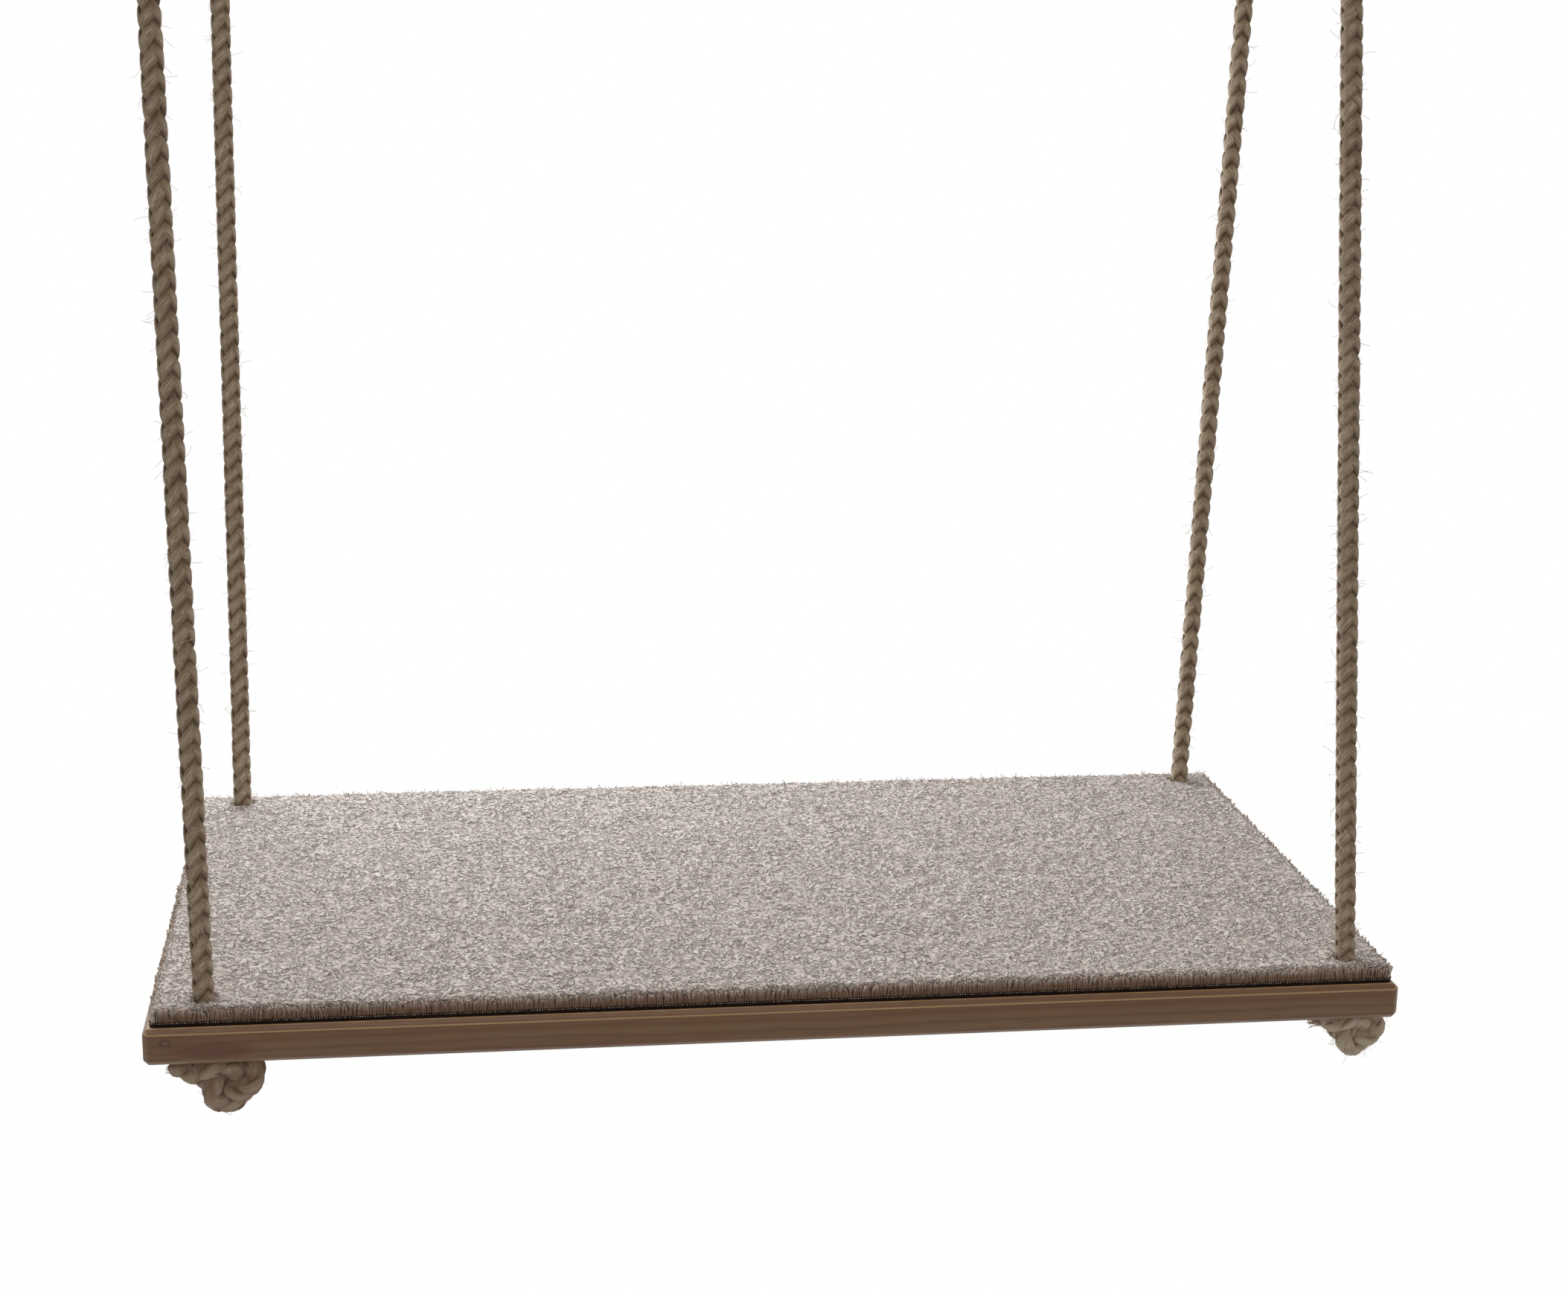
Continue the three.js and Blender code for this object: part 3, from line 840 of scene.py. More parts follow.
def fibre_tree():
    """Thin bent fibres that stand out of a surface."""
    growth = Growth("fibres")
    density, length, thickness, lean, bend = growth.asked(
        "Density", "Length", "Thickness", "Lean", "Bend"
    )
    [seed] = growth.asked("Seed", kind="Int")
    spread = growth.node(
        "GeometryNodeDistributePointsOnFaces",
        {"Mesh": growth.given(), "Density": density, "Seed": seed},
        distribute_method="RANDOM",
    )
    arc = growth.arc(3, growth.joined(0.0, 0.0, 0.6), growth.joined(bend, 0.0, 1.0))
    turned = growth.node(
        "FunctionNodeRotateRotation",
        {"Rotation": spread["Rotation"], "Rotate By": growth.leaning(seed + 10, lean)},
        rotation_space="LOCAL",
    )[0]
    size = growth.chance(seed + 14, 0.35, 1.0) * length
    fibre = growth.swept(arc, growth.ring(3, thickness))
    scale = growth.joined(size, size, size)
    return growth.ended(growth.copied(spread["Points"], fibre, Rotation=turned, Scale=scale))


def tuft_tree():
    """Tufts pushed out of a fine surface."""
    growth = Growth("tufts")
    cell, depth = growth.asked("Tuft Size", "Depth")
    place = growth.node("GeometryNodeInputPosition")[0]
    normal = growth.node("GeometryNodeInputNormal")[0]
    cells = growth.node(
        "ShaderNodeTexVoronoi",
        {"Vector": place, "Scale": 1 / cell, "Randomness": 0.9},
        voronoi_dimensions="3D",
    )
    shade = growth.parts(cells["Color"])[1]
    dome = 1 - (cells["Distance"] * 1.25).clamped()
    wave = growth.noise(place, 55, 2) - 0.5
    height = (dome ** 0.7) * (shade * 0.5 + 0.6)
    tufts = growth.stored(growth.given(), "tuft", height)
    tufts = growth.stored(tufts, "rest", place, "FLOAT_VECTOR")
    push = growth.vector("SCALE", normal, scale=(height - 0.75) * depth + wave * 0.0012)
    moved = growth.node("GeometryNodeSetPosition", {"Geometry": tufts, "Offset": push})[0]
    return growth.ended(moved)


def row_tree():
    """The same small shape over and over along a line."""
    growth = Growth("row of stitches")
    spacing, radius = growth.asked("Spacing", "Radius")
    [seed] = growth.asked("Seed", kind="Int")
    inputs = {"Segments": 6, "Rings": 4, "Radius": radius}
    speck = growth.node("GeometryNodeMeshUVSphere", inputs)[0]
    size = growth.chance(seed, 0.55, 1.15)
    return growth.ended(growth.copied(growth.spaced(spacing), speck, Scale=size))


def yarn_tree():
    """Cut yarns that stand side by side along a line, each thicker at its open end."""
    growth = Growth("standing yarns")
    spacing, height, thickness, lean = growth.asked("Spacing", "Height", "Thickness", "Lean")
    [seed] = growth.asked("Seed", kind="Int")
    middle = growth.joined(0.0, 0.0, height * 0.5)
    arc = growth.arc(4, middle, growth.joined(height * 0.12, 0.0, height))
    share = growth.node("GeometryNodeSplineParameter")["Factor"]
    swell = 0.7 + share * 1.5 - share * share * 1.6
    yarn = growth.swept(arc, growth.ring(5, thickness), Scale=swell)
    width, breadth = (growth.chance(seed + offset, 0.7, 1.35) for offset in (5, 6))
    size = growth.joined(width, breadth, growth.chance(seed + 4, 0.72, 1.1))
    points = growth.spaced(spacing)
    turn = growth.leaning(seed, lean)
    return growth.ended(growth.copied(points, yarn, Rotation=turn, Scale=size))


PLAITED_ROPE = plaited_rope_tree()
WIRE = wire_tree()
FIBRES = fibre_tree()
TUFTS = tuft_tree()
STITCH_ROW = row_tree()
YARNS = yarn_tree()


def rope(
    name, path, radius, column, cycle, start=0.0, material=JUTE, spacing=STRAND_STEP, fullness=1.0
):
    return grown(
        chain(name, path, column=column),
        PLAITED_ROPE,
        Radius=radius,
        Cycle=cycle,
        Spacing=spacing,
        Start=start,
        Fullness=fullness,
        Material=material,
    )


def wire(name, points, radius, material=ZINC, closed=False, sides=14):
    return grown(chain(name, points, closed), WIRE, Radius=radius, Sides=sides, Material=material)


def hairs_of(surface, density, seed, length, thickness, lean, bend, material=LOOSE):
    """A surface turned into the fibres that stand out of it."""
    return grown(
        surface,
        FIBRES,
        Density=density,
        Seed=seed,
        Length=length,
        Thickness=thickness,
        Lean=lean,
        Bend=bend,
        Material=material,
    )


# Paths


def catmull(points, spacing):
    """A centripetal curve through points, sampled evenly."""
    places = [Vector(p) for p in points]
    places = [2 * places[0] - places[1], *places, 2 * places[-1] - places[-2]]
    fine = []
    for a, b, c, d in zip(places, places[1:], places[2:], places[3:]):
        t1 = (b - a).length ** 0.5
        t2 = t1 + (c - b).length ** 0.5
        t3 = t2 + (d - c).length ** 0.5
        for step in range(12):
            t = t1 + (t2 - t1) * step / 12
            ab = a.lerp(b, t / t1)
            bc = b.lerp(c, (t - t1) / (t2 - t1))
            cd = c.lerp(d, (t - t2) / (t3 - t2))
            left = ab.lerp(bc, t / t2)
            right = bc.lerp(cd, (t - t1) / (t3 - t1))
            fine.append(left.lerp(right, (t - t1) / (t2 - t1)))
    fine.append(places[-2])
    run = [0]
    for a, b in zip(fine, fine[1:]):
        run.append(run[-1] + (b - a).length)
    count = max(2, round(run[-1] / spacing))
    wanted = np.linspace(0, run[-1], count + 1)
    columns = [np.interp(wanted, run, [p[i] for p in fine]) for i in range(3)]
    return [Vector(p) for p in zip(*columns)]


def straight(low, high, spacing):
    count = max(2, round((high - low).length / spacing))
    return [low.lerp(high, i / count) for i in range(count + 1)]


def circle(centre, radius, count):
    x, y, z = centre
    turns = [FULL_TURN * i / count for i in range(count)]
    return [(x + radius * math.cos(t), y + radius * math.sin(t), z) for t in turns]


def helix(radius_at, low, high, pitch, steps=14):
    """A rising thread, whose radius follows the height."""
    count = round((high - low) / pitch * steps)
    points = []
    for i in range(count + 1):
        z = low + (high - low) * i / count
        turn = FULL_TURN * i / steps
        radius = radius_at(z)
        points.append((radius * math.cos(turn), radius * math.sin(turn), z))
    return points


def rounded(half_x, half_y, corner, level, steps=4):
    """The points of a rounded rectangle about the origin, at one level."""
    points = []
    for number, (sx, sy) in enumerate(((1, -1), (1, 1), (-1, 1), (-1, -1))):
        for step in range(steps + 1):
            turn = math.radians(-90 + 90 * number + 90 * step / steps)
            x = sx * (half_x - corner) + corner * math.cos(turn)
            y = sy * (half_y - corner) + corner * math.sin(turn)
            points.append((x, y, level))
    return points


def slab(name, low, high, ease):
    """A solid between two rings of points, with its arrises eased."""
    count = len(low)
    faces = [tuple(reversed(range(count))), tuple(range(count, 2 * count))]
    faces += [(i, (i + 1) % count, count + (i + 1) % count, count + i) for i in range(count)]
    return eased(shape(name, low + high, faces=faces), ease, 2, 40)


# The four ropes: the taut span first, then what it meets at each end


def rope_frame(corner):
    """From a rope's own frame, whose origin is the link's bar, to the part's."""
    x, y = HOLES[corner]
    shift = HOOK_SHIFT[corner]
    fall = LINK_BAR - ROPE_PIVOT
    lean = math.atan2(shift, fall)
    place = Matrix.Translation((x + shift, y, LINK_BAR)) @ Matrix.Rotation(lean, 4, "Y")
    return place, math.hypot(fall, shift)


def eye_path():
    """Up beside the seizing, over the link's bar and down again."""
    centre = EYE_RISE - EYE_ARC
    points = [(0, 0, EYE_END + share * SEIZING_LENGTH / 2) for share in range(3)]
    points.append((0, 0, SEIZING_START + SEIZING_LENGTH))
    for i in range(7):
        turn = math.pi - math.pi * i / 6
        points.append((EYE_ARC * math.cos(turn), 0, centre + EYE_ARC * math.sin(turn)))
    points += [
        (EYE_TAIL, 0, SEIZING_START + SEIZING_LENGTH),
        (EYE_TAIL, 0, SEIZING_START + SEIZING_LENGTH / 2),
        (EYE_TAIL, 0, SEIZING_START),
        (EYE_TAIL, 0, EYE_END),
    ]
    return catmull(points, BEND_STEP)


def wound(degrees):
    """A place on the overhand knot, which goes round its ring twice in 360 degrees."""
    turn = math.radians(degrees)
    about = 2 * turn + KNOT_TURN
    reach = KNOT_RING + KNOT_WIND * math.cos(3 * turn)
    return (
        KNOT_OFFSET + reach * math.cos(about),
        KNOT_WIND * math.sin(3 * turn),
        -KNOT_DROP + KNOT_FLAT * reach * math.sin(about),
    )


def knot_path(rise, tail, draw):
    """Down the hole, round the overhand knot, and across in front to the tail on the left."""
    hang = [(0, 0, 0), KNOT_ENTRY]
    for i in range(KNOT_STEPS + 1):
        hang.append(wound(KNOT_FROM + (KNOT_TO - KNOT_FROM) * i / KNOT_STEPS))
    tail_shares = ((0, 1.1, 0.43), (0.33, 0.9, 0.62), (0.67, 0.7, 0.5), (1, 0.5, 0.37))
    for left, forward, drop in tail_shares:
        hang.append((-tail * left / draw, -TAIL_FRONT * forward, -KNOT_DROP * drop))
    points = [(0, 0, rise), (0, 0, rise / 2)] + [Vector(point) * draw for point in hang]
    return catmull(points, BEND_STEP)


def fibres_on(name, surface, density, seed, *habit):
    return hairs_of(linked(name, surface.data.copy()), density, seed, *habit)


def frayed(name, path, length, seed):
    """A brush of loose fibres out of a path's end."""
    along = (path[-1] - path[-3]).normalized()
    disc = bmesh.new()
    bmesh.ops.create_circle(disc, cap_ends=True, segments=12, radius=BRUSH_RADIUS)
    turn = along.to_track_quat("Z", "Y").to_matrix().to_4x4()
    place = Matrix.Translation(path[-1] - along * MM) @ turn
    bmesh.ops.transform(disc, matrix=place, verts=disc.verts)
    return hairs_of(linked(name, mesh_of(name, disc)), BRUSH_FUZZ, seed, length, *BRUSH_HABIT)


def seizing(corner, place):
    """Turns of twine round both parts of the rope."""
    wall = ROPE_RADIUS + SEAT + TWINE_SEAT
    arc = math.pi * wall
    around = FULL_TURN * wall + 2 * EYE_TAIL
    turns = int(SEIZING_LENGTH / (2 * TWINE_RADIUS)) - 1
    steps = 40
    points = []
    for i in range(turns * steps + 1):
        share = (i % steps) / steps * around
        if share < EYE_TAIL:
            spot = (share, -wall)
        elif share < EYE_TAIL + arc:
            turn = (share - EYE_TAIL) / wall - math.pi / 2
            spot = (EYE_TAIL + wall * math.cos(turn), wall * math.sin(turn))
        elif share < 2 * EYE_TAIL + arc:
            spot = (EYE_TAIL - (share - EYE_TAIL - arc), wall)
        else:
            turn = (share - 2 * EYE_TAIL - arc) / wall + math.pi / 2
            spot = (wall * math.cos(turn), wall * math.sin(turn))
        rise = SEIZING_START + TWINE_RADIUS + 2 * TWINE_RADIUS * i / steps
        points.append(place @ Vector((*spot, rise)))
    return wire(f"twine_{corner}", points, TWINE_RADIUS * TWINE_FULLNESS, TWINE, sides=7)


def make_rope(number, corner):
    body = f"rope_{corner}"
    place, line = rope_frame(corner)
    bearing = math.radians(PLAIT_BEARING[corner])
    column = Vector((math.cos(bearing), math.sin(bearing), 0))
    cycle = PLAIT_CYCLE[corner]
    low = Vector((0, 0, -line + NECK_REACH))
    high = Vector((0, 0, EYE_END - SEAT / 2))
    path = [place @ p for p in straight(low, high, SPAN_STEP)]
    span = rope(f"span_{corner}", path, ROPE_RADIUS, column, cycle)
    ready(span, body, stands_for=[f"rope_{corner}"])

    reached = line - NECK_REACH + EYE_END
    eye_line = [place @ p for p in eye_path()]
    eye = rope(f"eye_{corner}", eye_line, ROPE_RADIUS, column, cycle, reached)
    ready(eye, body, stands_for=[f"rope_eye_{corner}"])
    ready(frayed(f"eye_fray_{corner}", eye_line, EYE_FRAY, 80 + number), body)

    lowest = Vector((0, 0, -line - NECK_REACH))
    neck = rope(
        f"neck_{corner}",
        [place @ p for p in straight(lowest, low, NECK_STEP)],
        ROPE_RADIUS,
        column,
        cycle,
        start=-2 * NECK_REACH,
        spacing=NECK_STRAND_STEP,
    )
    ready(neck, NECK_BODY[corner], stands_for=[f"rope_neck_{corner}"])

    hairs = fibres_on(f"span_fibres_{corner}", span, ROPE_FUZZ, 20 + number, *ROPE_HABIT)
    ready(hairs, body)
    twine = seizing(corner, place)
    ready(twine, body, stands_for=[f"seizing_{corner}"])


def make_knot(number, corner):
    x, y = HOLES[corner]
    slack = math.sin(SWAY) * abs(HOOK_SHIFT[corner] - HOOK_SHIFT["front_left"])
    rise = ROPE_PIVOT - ROPE_RADIUS - SEAT - slack - BOARD_BOTTOM
    place = Matrix.Translation((x, y, BOARD_BOTTOM))
    drawn = KNOT_DRAW[corner]
    path = [place @ p for p in knot_path(rise, TAIL_LENGTH[corner], drawn)]
    knot = rope(
        f"knot_{corner}",
        path,
        KNOT_ROPE * drawn,
        Vector((0, -1, 0)),
        PLAIT_CYCLE[corner],
        material=KNOT_FINISH[corner],
        spacing=KNOT_STRAND_STEP,
        fullness=KNOT_FULLNESS,
    )
    ready(knot, "perch", stands_for=[f"stopper_knot_{corner}"])
    fuzz = KNOT_FUZZ[corner]
    hairs = fibres_on(f"knot_fibres_{corner}", knot, fuzz, 40 + number, *KNOT_HABIT)
    brush = frayed(f"tail_{corner}", path, FRAY[corner], 60 + number)
    ready(merged(f"knot_fray_{corner}", [hairs, brush]), "perch")


for number, corner in enumerate(CORNERS):
    make_rope(number, corner)
    make_knot(number, corner)


# Board


def make_board():
    size = BOARD_HIGH - BOARD_LOW
    centre = (BOARD_HIGH + BOARD_LOW) / 2
    place = Matrix.Translation(centre) @ Matrix.Diagonal((*size, 1))
    solid = bmesh.new()
    bmesh.ops.create_cube(solid, size=1)
    bmesh.ops.transform(solid, matrix=place, verts=solid.verts)
    board = linked("pine_board", mesh_of("pine_board", solid))
    eased(board, BOARD_CHAMFER, 1, 25)
    eased(board, BOARD_EASE, 3, 25)
    drill = bmesh.new()
    for x, y in HOLES.values():
        bmesh.ops.create_cone(
            drill,
            cap_ends=True,
            segments=32,
            radius1=HOLE_RADIUS,
            radius2=HOLE_RADIUS,
            depth=2 * size.z,
            matrix=Matrix.Translation((x, y, centre.z)),
        )
    cut_with(board, [linked("drill", mesh_of("drill", drill))], 40)
    ready(board, "perch", PINE, ["board"])


make_board()


# Carpet

# The pile's surface stands inside the solid, because its tufts stand out of it
PILE_INSET = 0.8 * MM
PILE_RAISED = 0.7 * MM
PILE_PITCH = 1.5 * MM
PILE_ROUND = 3 * MM
TUFT_SIZE = 2.9 * MM
TUFT_DEPTH = 1.6 * MM
BACKING_INSET = 0.15 * MM
BACKING_CORNER = 2.85 * MM
BACKING_REACH = 0.8 * MM
BACKING_EASE = 0.3 * MM
STITCH_PROUD = 0.1 * MM
STITCH_RISE = 0.35 * MM

# Yarn ends on the rim and on the rest of the top: how many stand on a square metre, their seed,
# and their habit as that of the ropes' loose fibres. None stands below the foot.
RIM = 3.5 * MM
YARN_FOOT = 1.4 * MM
YARN_HABITS = {
    "rim": (110000, 7, 2.3 * MM, 0.085, 0.9, 0.5),
    "top": (14000, 8, 2.0 * MM, 0.07, 1.15, 0.7),
}

# Two rows of cut yarns, each given by its seed and how far it is inside the solid
EDGE_ROWS = ((31, 0.75 * MM), (37, 1.6 * MM))
EDGE_CORNER = 2.4 * MM
EDGE_FOOT = 0.5 * MM

# Round each rope the pile is pressed down, most of all within the inner radius
PRESS_INNER = 4 * MM
PRESS_WIDTH = 2.6 * MM
PRESS_DEPTH = 5.5 * MM
PRESS_FLOOR = 4 * MM


def make_pile():
    """A fine slab whose upper arris is rounded, with tufts, pressed down round the ropes."""
    inset = Vector((PILE_INSET, PILE_INSET, 0))
    low, high = PILE_LOW + inset + Vector((0, 0, PILE_RAISED)), PILE_HIGH - inset
    across = round((high.x - low.x) / PILE_PITCH)
    back = round((high.y - low.y) / PILE_PITCH)
    rows = round((high.z - low.z) / PILE_PITCH)
    xs = np.linspace(low.x, high.x, across + 1)
    ys = np.linspace(low.y, high.y, back + 1)
    grid = np.array([(x, y, high.z) for y in ys for x in xs])
    wide = across + 1
    rim = (
        list(range(wide))
        + [j * wide + across for j in range(1, back + 1)]
        + [back * wide + i for i in range(across - 1, -1, -1)]
        + [j * wide for j in range(back - 1, 0, -1)]
    )
    points = [grid]
    for row in range(1, rows + 1):
        ring = grid[rim].copy()
        ring[:, 2] = high.z - (high.z - low.z) * row / rows
        points.append(ring)
    points = np.concatenate(points)
    inner = points.copy()
    inner[:, 0] = np.clip(inner[:, 0], low.x + PILE_ROUND, high.x - PILE_ROUND)
    inner[:, 1] = np.clip(inner[:, 1], low.y + PILE_ROUND, high.y - PILE_ROUND)
    inner[:, 2] = np.minimum(inner[:, 2], high.z - PILE_ROUND)
    away = points - inner
    reach = np.linalg.norm(away, axis=1, keepdims=True)
    points = inner + np.where(reach > 0, away / np.maximum(reach, 1e-9) * PILE_ROUND, 0)
    for x, y in HOLES.values():
        gap = np.hypot(points[:, 0] - x, points[:, 1] - y)
        press = np.clip(1 - (gap - PRESS_INNER) / PRESS_WIDTH, 0, 1)
        press = press * press * (3 - 2 * press) * PRESS_DEPTH
        points[:, 2] -= press * (points[:, 2] > low.z + PRESS_FLOOR)
    faces = []
    for j in range(back):
        for i in range(across):
            a = j * wide + i
            faces.append((a, a + 1, a + wide + 1, a + wide))
    above = rim
    start = len(grid)
    count = len(rim)
    for _ in range(rows):
        below = list(range(start, start + count))
        for i in range(count):
            k = (i + 1) % count
            faces.append((above[i], below[i], below[k], above[k]))
        above = below
        start += count
    faces.append(tuple(reversed(above)))
    pile = shape("carpet_tufts", points, faces=faces)
    pile = grown(pile, TUFTS, **{"Tuft Size": TUFT_SIZE, "Depth": TUFT_DEPTH, "Material": CARPET})
    ready(pile, "perch", stands_for=["carpet_pile"])
    return pile


def make_pile_fibres(pile):
    """Yarn ends, close together on the cut edges and scattered on top."""
    parts = []
    for name, habit in YARN_HABITS.items():
        part = linked(name, pile.data.copy())
        cut = bmesh.new()
        cut.from_mesh(part.data)
        spare = []
        for face in cut.faces:
            middle = face.calc_center_median()
            edge = min(PILE_HIGH.x - abs(middle.x), PILE_HIGH.y - abs(middle.y))
            low = middle.z < PILE_LOW.z + YARN_FOOT
            if len(face.verts) > 4 or low or (edge < RIM) != (name == "rim"):
                spare.append(face)
        bmesh.ops.delete(cut, geom=spare, context="FACES")
        cut.to_mesh(part.data)
        cut.free()
        parts.append(hairs_of(part, *habit, YARN_END))
    ready(merged("yarn_ends", parts), "perch")


def make_edge_yarns():
    """Two rows of upright yarns where the carpet is cut."""
    rows = []
    for seed, inset in EDGE_ROWS:
        half_x, half_y = PILE_HIGH.x - inset, PILE_HIGH.y - inset
        line = rounded(half_x, half_y, EDGE_CORNER, PILE_LOW.z + EDGE_FOOT)
        row = grown(
            chain("row", line, closed=True),
            YARNS,
            Spacing=1.1 * MM,
            Height=6.0 * MM,
            Thickness=0.62 * MM,
            Lean=0.2,
            Seed=seed,
            Material=YARN_END,
        )
        rows.append(row)
    ready(merged("edge_yarns", rows), "perch")


def make_backing():
    half_x, half_y = PILE_HIGH.x - BACKING_INSET, PILE_HIGH.y - BACKING_INSET
    low = rounded(half_x, half_y, BACKING_CORNER, BOARD_TOP)
    high = rounded(half_x, half_y, BACKING_CORNER, PILE_LOW.z + BACKING_REACH)
    backing = slab("latex_backing", low, high, BACKING_EASE)
    settled(backing, smooth=False)
    ready(backing, "perch", BACKING, ["carpet_backing"])
    half_x, half_y = half_x + STITCH_PROUD, half_y + STITCH_PROUD
    line = rounded(half_x, half_y, BACKING_CORNER, PILE_LOW.z + STITCH_RISE)
    stitches = grown(
        chain("backing_stitches", line, closed=True),
        STITCH_ROW,
        Spacing=1.15 * MM,
        Radius=0.33 * MM,
        Seed=3,
        Material=STITCH,
    )
    ready(stitches, "perch")


make_pile_fibres(make_pile())
make_edge_yarns()
make_backing()


# Hooks: a screwed plate with a welded staple, and a quick link with its sleeve


def turned(name, profile, material, segments=28):
    """A solid turned about Z, from a list of radius and height."""
    points = []
    for radius, height in profile:
        points += circle((0, 0, height), radius, segments)
    faces = [tuple(reversed(range(segments)))]
    for ring in range(len(profile) - 1):
        start = ring * segments
        for i in range(segments):
            k = (i + 1) % segments
            faces.append((start + i, start + k, start + segments + k, start + segments + i))
    faces.append(tuple(range(len(points) - segments, len(points))))
    solid = shape(name, points, faces=faces)
    solid.data.materials.append(material)
    return solid


def half_turn(start, centre):
    """Across and up from the middle of a bend of the hook's wire, from a bearing on."""
    turns = [start + math.pi * i / 24 for i in range(25)]
    return [(HOOK_ARC * math.cos(t), centre + HOOK_ARC * math.sin(t)) for t in turns]


def plate():
    """A strap with two countersunk holes, its staple and the welds at the staple's feet."""
    outline = (PLATE_LENGTH / 2, PLATE_WIDTH / 2, PLATE_CORNER)
    low, high = (rounded(*outline, level, 8) for level in (-PLATE_THICKNESS, 0))
    strap = slab("strap", low, high, PLATE_EASE)
    strap.data.materials.append(ZINC)
    under = -PLATE_THICKNESS - MM
    sink = [
        (SCREW_HEAD + HEAD_CLEARANCE + MM, under),
        (SCREW_HOLE, SINK_TOP),
        (SCREW_HOLE, MM),
    ]
    tools = []
    for end in (-1, 1):
        tool = turned("sink", sink, ZINC)
        tools.append(placed(tool, Matrix.Translation((end * SCREW_SPACING / 2, 0, 0))))
    cut_with(strap, tools)
    feet = [(end * HOOK_ARC, 0, STAPLE_FOOT) for end in (-1, 1)]
    bend = [(x, 0, z) for x, z in half_turn(math.pi, STAPLE_TURN)]
    staple = wire("staple", [feet[0], *bend, feet[1]], HOOK_WIRE, sides=20)
    parts = [strap, staple]
    for x, y, _ in feet:
        seam = circle((x, y, WELD_LEVEL), HOOK_WIRE + WIRE_CLEARANCE, 30)
        bead = [(*seat, z - WELD_RIPPLE * math.sin(5 * i)) for i, (*seat, z) in enumerate(seam)]
        parts.append(wire("bead", bead, WELD_BEAD, closed=True, sides=10))
    return merged("plate", parts)


def screw():
    """A countersunk wood screw, point up, with a cross recess."""
    profile = [
        (3.55 * MM, 0),
        (SCREW_HEAD, 0.25 * MM),
        (SCREW_HEAD, 0.45 * MM),
        (SCREW_SHANK + 0.15 * MM, 2.4 * MM),
        (SCREW_SHANK, 3.2 * MM),
        (SCREW_SHANK, SCREW_LENGTH - SCREW_POINT),
        (0.15 * MM, SCREW_LENGTH),
    ]
    body = turned("screw", profile, SCREW_ZINC)
    blade = [(-2.1, -0.42, -1), (2.1, -0.42, -1), (2.1, 0.42, -1), (-2.1, 0.42, -1)]
    foot = [(-0.7, -0.3, 1.7), (0.7, -0.3, 1.7), (0.7, 0.3, 1.7), (-0.7, 0.3, 1.7)]
    corners = [tuple(n * MM for n in corner) for corner in blade + foot]
    sides = [(i, (i + 1) % 4, 4 + (i + 1) % 4, 4 + i) for i in range(4)]
    tools = []
    for turn in (0, math.pi / 2):
        tool = shape("blade", corners, faces=[(3, 2, 1, 0), (4, 5, 6, 7), *sides])
        tools.append(placed(tool, Matrix.Rotation(turn, 4, "Z")))
    cut_with(body, tools)

    def reach(z):
        return SCREW_SHANK * min(1, max(0.15, (SCREW_LENGTH - z) / SCREW_POINT))

    line = helix(reach, SCREW_THREAD_START, SCREW_LENGTH - MM, SCREW_PITCH)
    thread = wire("thread", line, SCREW_RIDGE, SCREW_ZINC, sides=6)
    return merged("screw", [body, thread])


def link():
    """A closed wire ring, and the thread that its sleeve runs on."""
    bends = half_turn(0, LINK_ARC_TOP) + half_turn(math.pi, LINK_ARC_LOW)
    ring = wire("ring", [(0, y, z) for y, z in bends], HOOK_WIRE, closed=True, sides=20)
    start = SLEEVE_LEVEL - SLEEVE_LENGTH / 2 - LINK_THREAD_REACH
    line = helix(lambda z: HOOK_WIRE - LINK_THREAD_SINK, start, SLEEVE_LEVEL, LINK_PITCH, 16)
    thread = wire("thread", line, LINK_RIDGE, sides=6)
    return merged("link", [ring, placed(thread, Matrix.Translation((0, HOOK_ARC, 0)))])


def sleeve():
    """A long hexagon nut, its corners chamfered at both ends."""
    half = SLEEVE_LENGTH / 2
    ends = [(0, HOOK_ARC, SLEEVE_LEVEL + side * half) for side in (-1, 1)]
    low, high = (circle(end, SLEEVE_RADIUS, 6) for end in ends)
    nut = slab("nut", low, high, SLEEVE_EASE)
    nut.data.materials.append(ZINC)
    bore = HOOK_WIRE + WIRE_CLEARANCE
    profile = [(bore, SLEEVE_LEVEL - half - MM), (bore, SLEEVE_LEVEL + half + MM)]
    tool = placed(turned("bore", profile, ZINC), Matrix.Translation((0, HOOK_ARC, 0)))
    return cut_with(nut, [tool])


def make_hooks():
    models = plate(), screw(), link(), sleeve()
    for model in models[:2]:
        model.data.set_sharp_from_angle(angle=math.radians(40))
    for corner, (x, y) in HOLES.items():
        hook = Vector((x + HOOK_SHIFT[corner], y, 0))
        body = f"link_{corner}"
        pieces = [
            (models[0], "plate", hook, "ceiling_plates", f"ceiling_plate_{corner}"),
            (models[2], "shackle", hook, body, f"quick_link_{corner}"),
            (models[3], "sleeve", hook, body, f"link_sleeve_{corner}"),
        ]
        for end, label in ((-1, "screw_a"), (1, "screw_b")):
            spot = hook + Vector((end * SCREW_SPACING / 2, 0, -PLATE_THICKNESS))
            pieces.append((models[1], label, spot, "ceiling_plates", f"{label}_{corner}"))
        for model, label, spot, ridden, node in pieces:
            name = f"{label}_{corner}"
            piece = linked(name if name != node else f"{name}_turned", model.data.copy())
            placed(piece, Matrix.Translation(spot))
            ready(piece, ridden, stands_for=[node])
    for model in models:
        bpy.data.objects.remove(model)


make_hooks()


# Stage: a pale floor, a white room that is seen and a dim one that lights, and three lamps

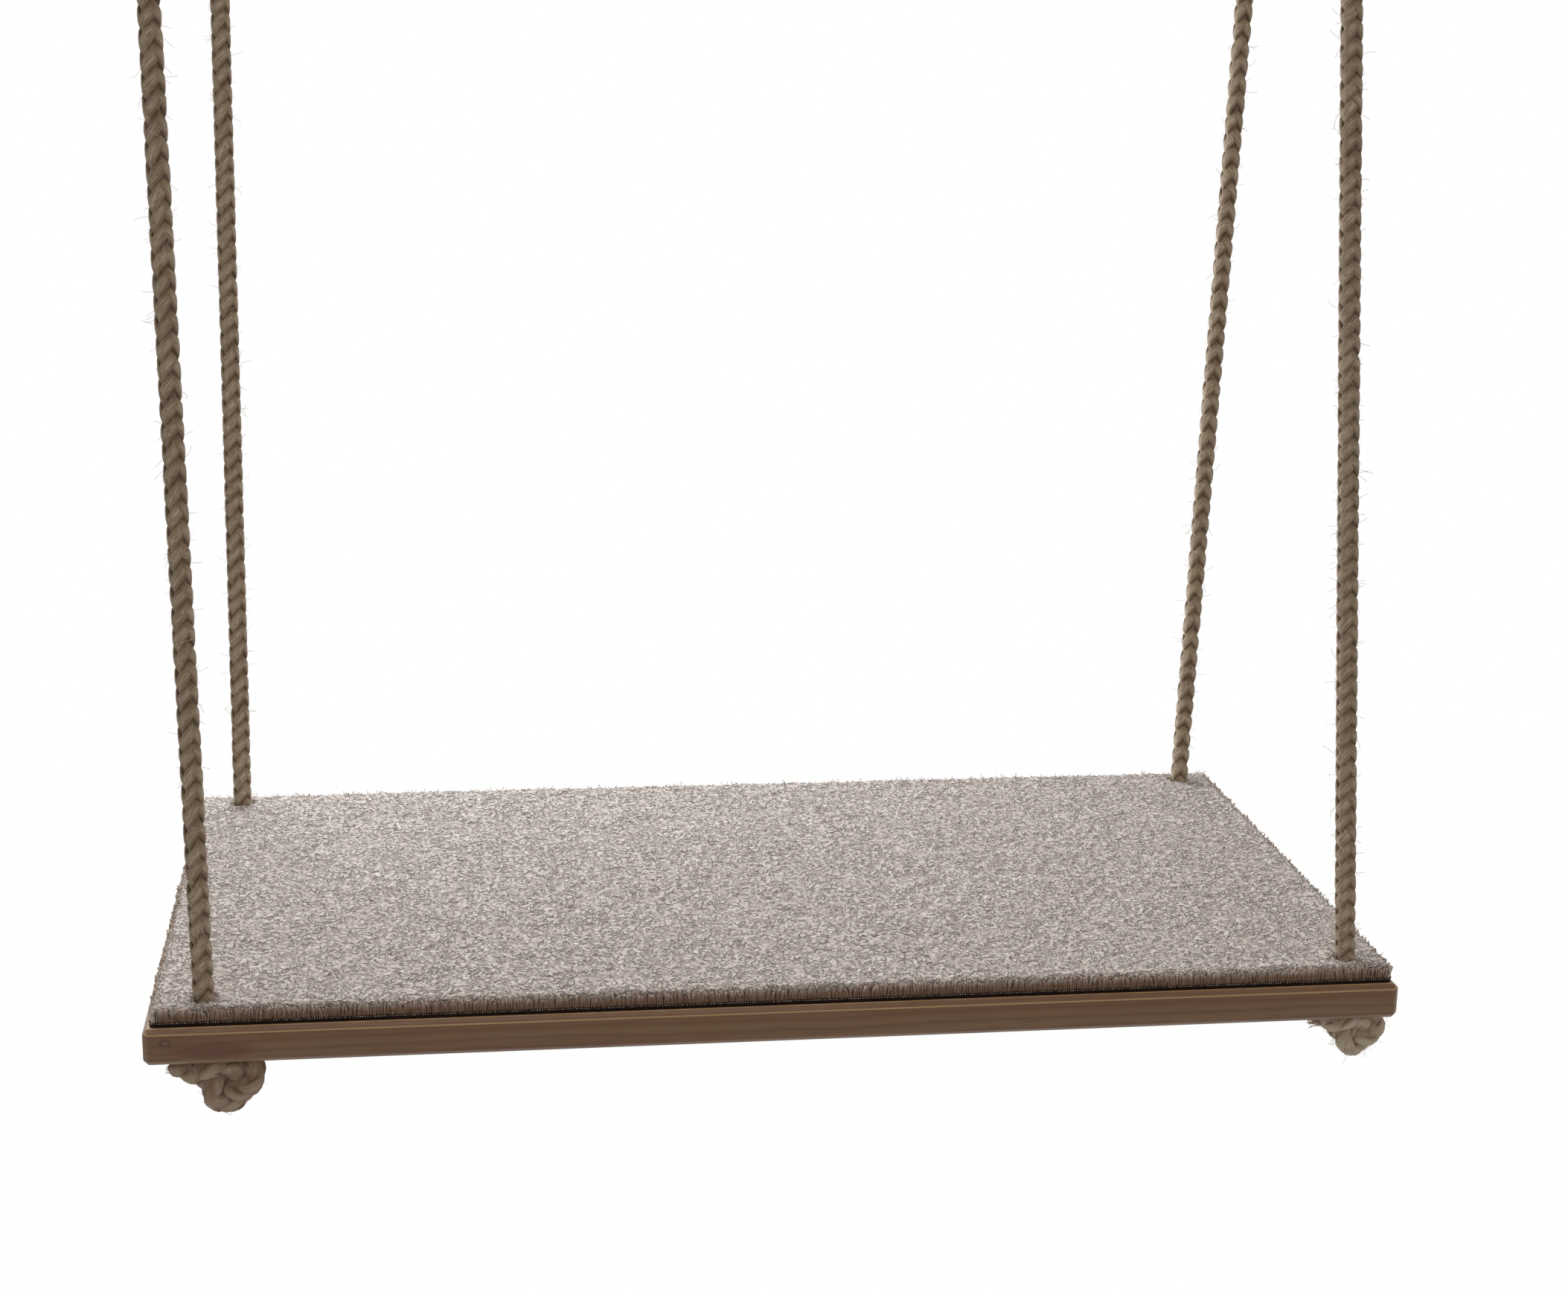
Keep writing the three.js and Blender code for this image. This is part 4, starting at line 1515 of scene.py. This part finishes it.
FLOOR = -2.4
LAMPS = {
    "window": ((-0.5, 2.2, 0.25), 3.0, 36, (0.94, 0.975, 1)),
    "near window": ((-0.2, 0.58, -0.38), 0.5, 4.2, (0.94, 0.975, 1)),
    "ceiling": ((-0.4, 0.4, 1.6), 1.8, 30, (1, 0.985, 0.96)),
}


def make_floor():
    grid = bmesh.new()
    bmesh.ops.create_grid(grid, x_segments=1, y_segments=1, size=6)
    bmesh.ops.translate(grid, verts=grid.verts, vec=(0, 0, FLOOR))
    floor = linked("floor", mesh_of("floor", grid))
    finish = Finish("pale floor")
    finish.give(Base_Color=(0.8, 0.8, 0.8), Roughness=0.9)
    glow = finish.node("ShaderNodeEmission", {"Color": (1, 1, 1, 1), "Strength": 1.03})[0]
    lit = Value(finish, finish.shader.outputs[0])
    both = finish.node("ShaderNodeMixShader", {0: finish.seen() * 0.95, 1: lit, 2: glow})[0]
    finish.tree.links.new(both.socket, finish.tree.nodes["Material Output"].inputs["Surface"])
    floor.data.materials.append(finish.material)


def make_room():
    world = bpy.data.worlds.new("studio")
    bpy.context.scene.world = world
    world.use_nodes = True
    world.node_tree.nodes.clear()
    sky = Tree(world.node_tree)
    light = sky.node("ShaderNodeBackground", {"Color": (1, 0.9, 0.8, 1), "Strength": 0.36})[0]
    white = sky.node("ShaderNodeBackground", {"Color": (1, 1, 1, 1), "Strength": 1.0})[0]
    both = sky.node("ShaderNodeMixShader", {0: sky.seen(), 1: light, 2: white})[0]
    sky.node("ShaderNodeOutputWorld", {"Surface": both})


def make_lamp(name, spot, size, power, colour):
    data = bpy.data.lights.new(f"{name} light", "AREA")
    data.shape = "SQUARE"
    data.size = size
    data.energy = power
    data.color = colour
    lamp = bpy.data.objects.new(name, data)
    bpy.context.scene.collection.objects.link(lamp)
    lamp.visible_camera = False
    aim = Vector((0, 0, BOARD_TOP)) - Vector(spot)
    turn = aim.to_track_quat("-Z", "Y").to_matrix().to_4x4()
    lamp.matrix_world = Matrix.Translation(spot) @ turn


make_floor()
make_room()
for name, lamp in LAMPS.items():
    make_lamp(name, *lamp)
bpy.context.scene.view_settings.view_transform = "Standard"
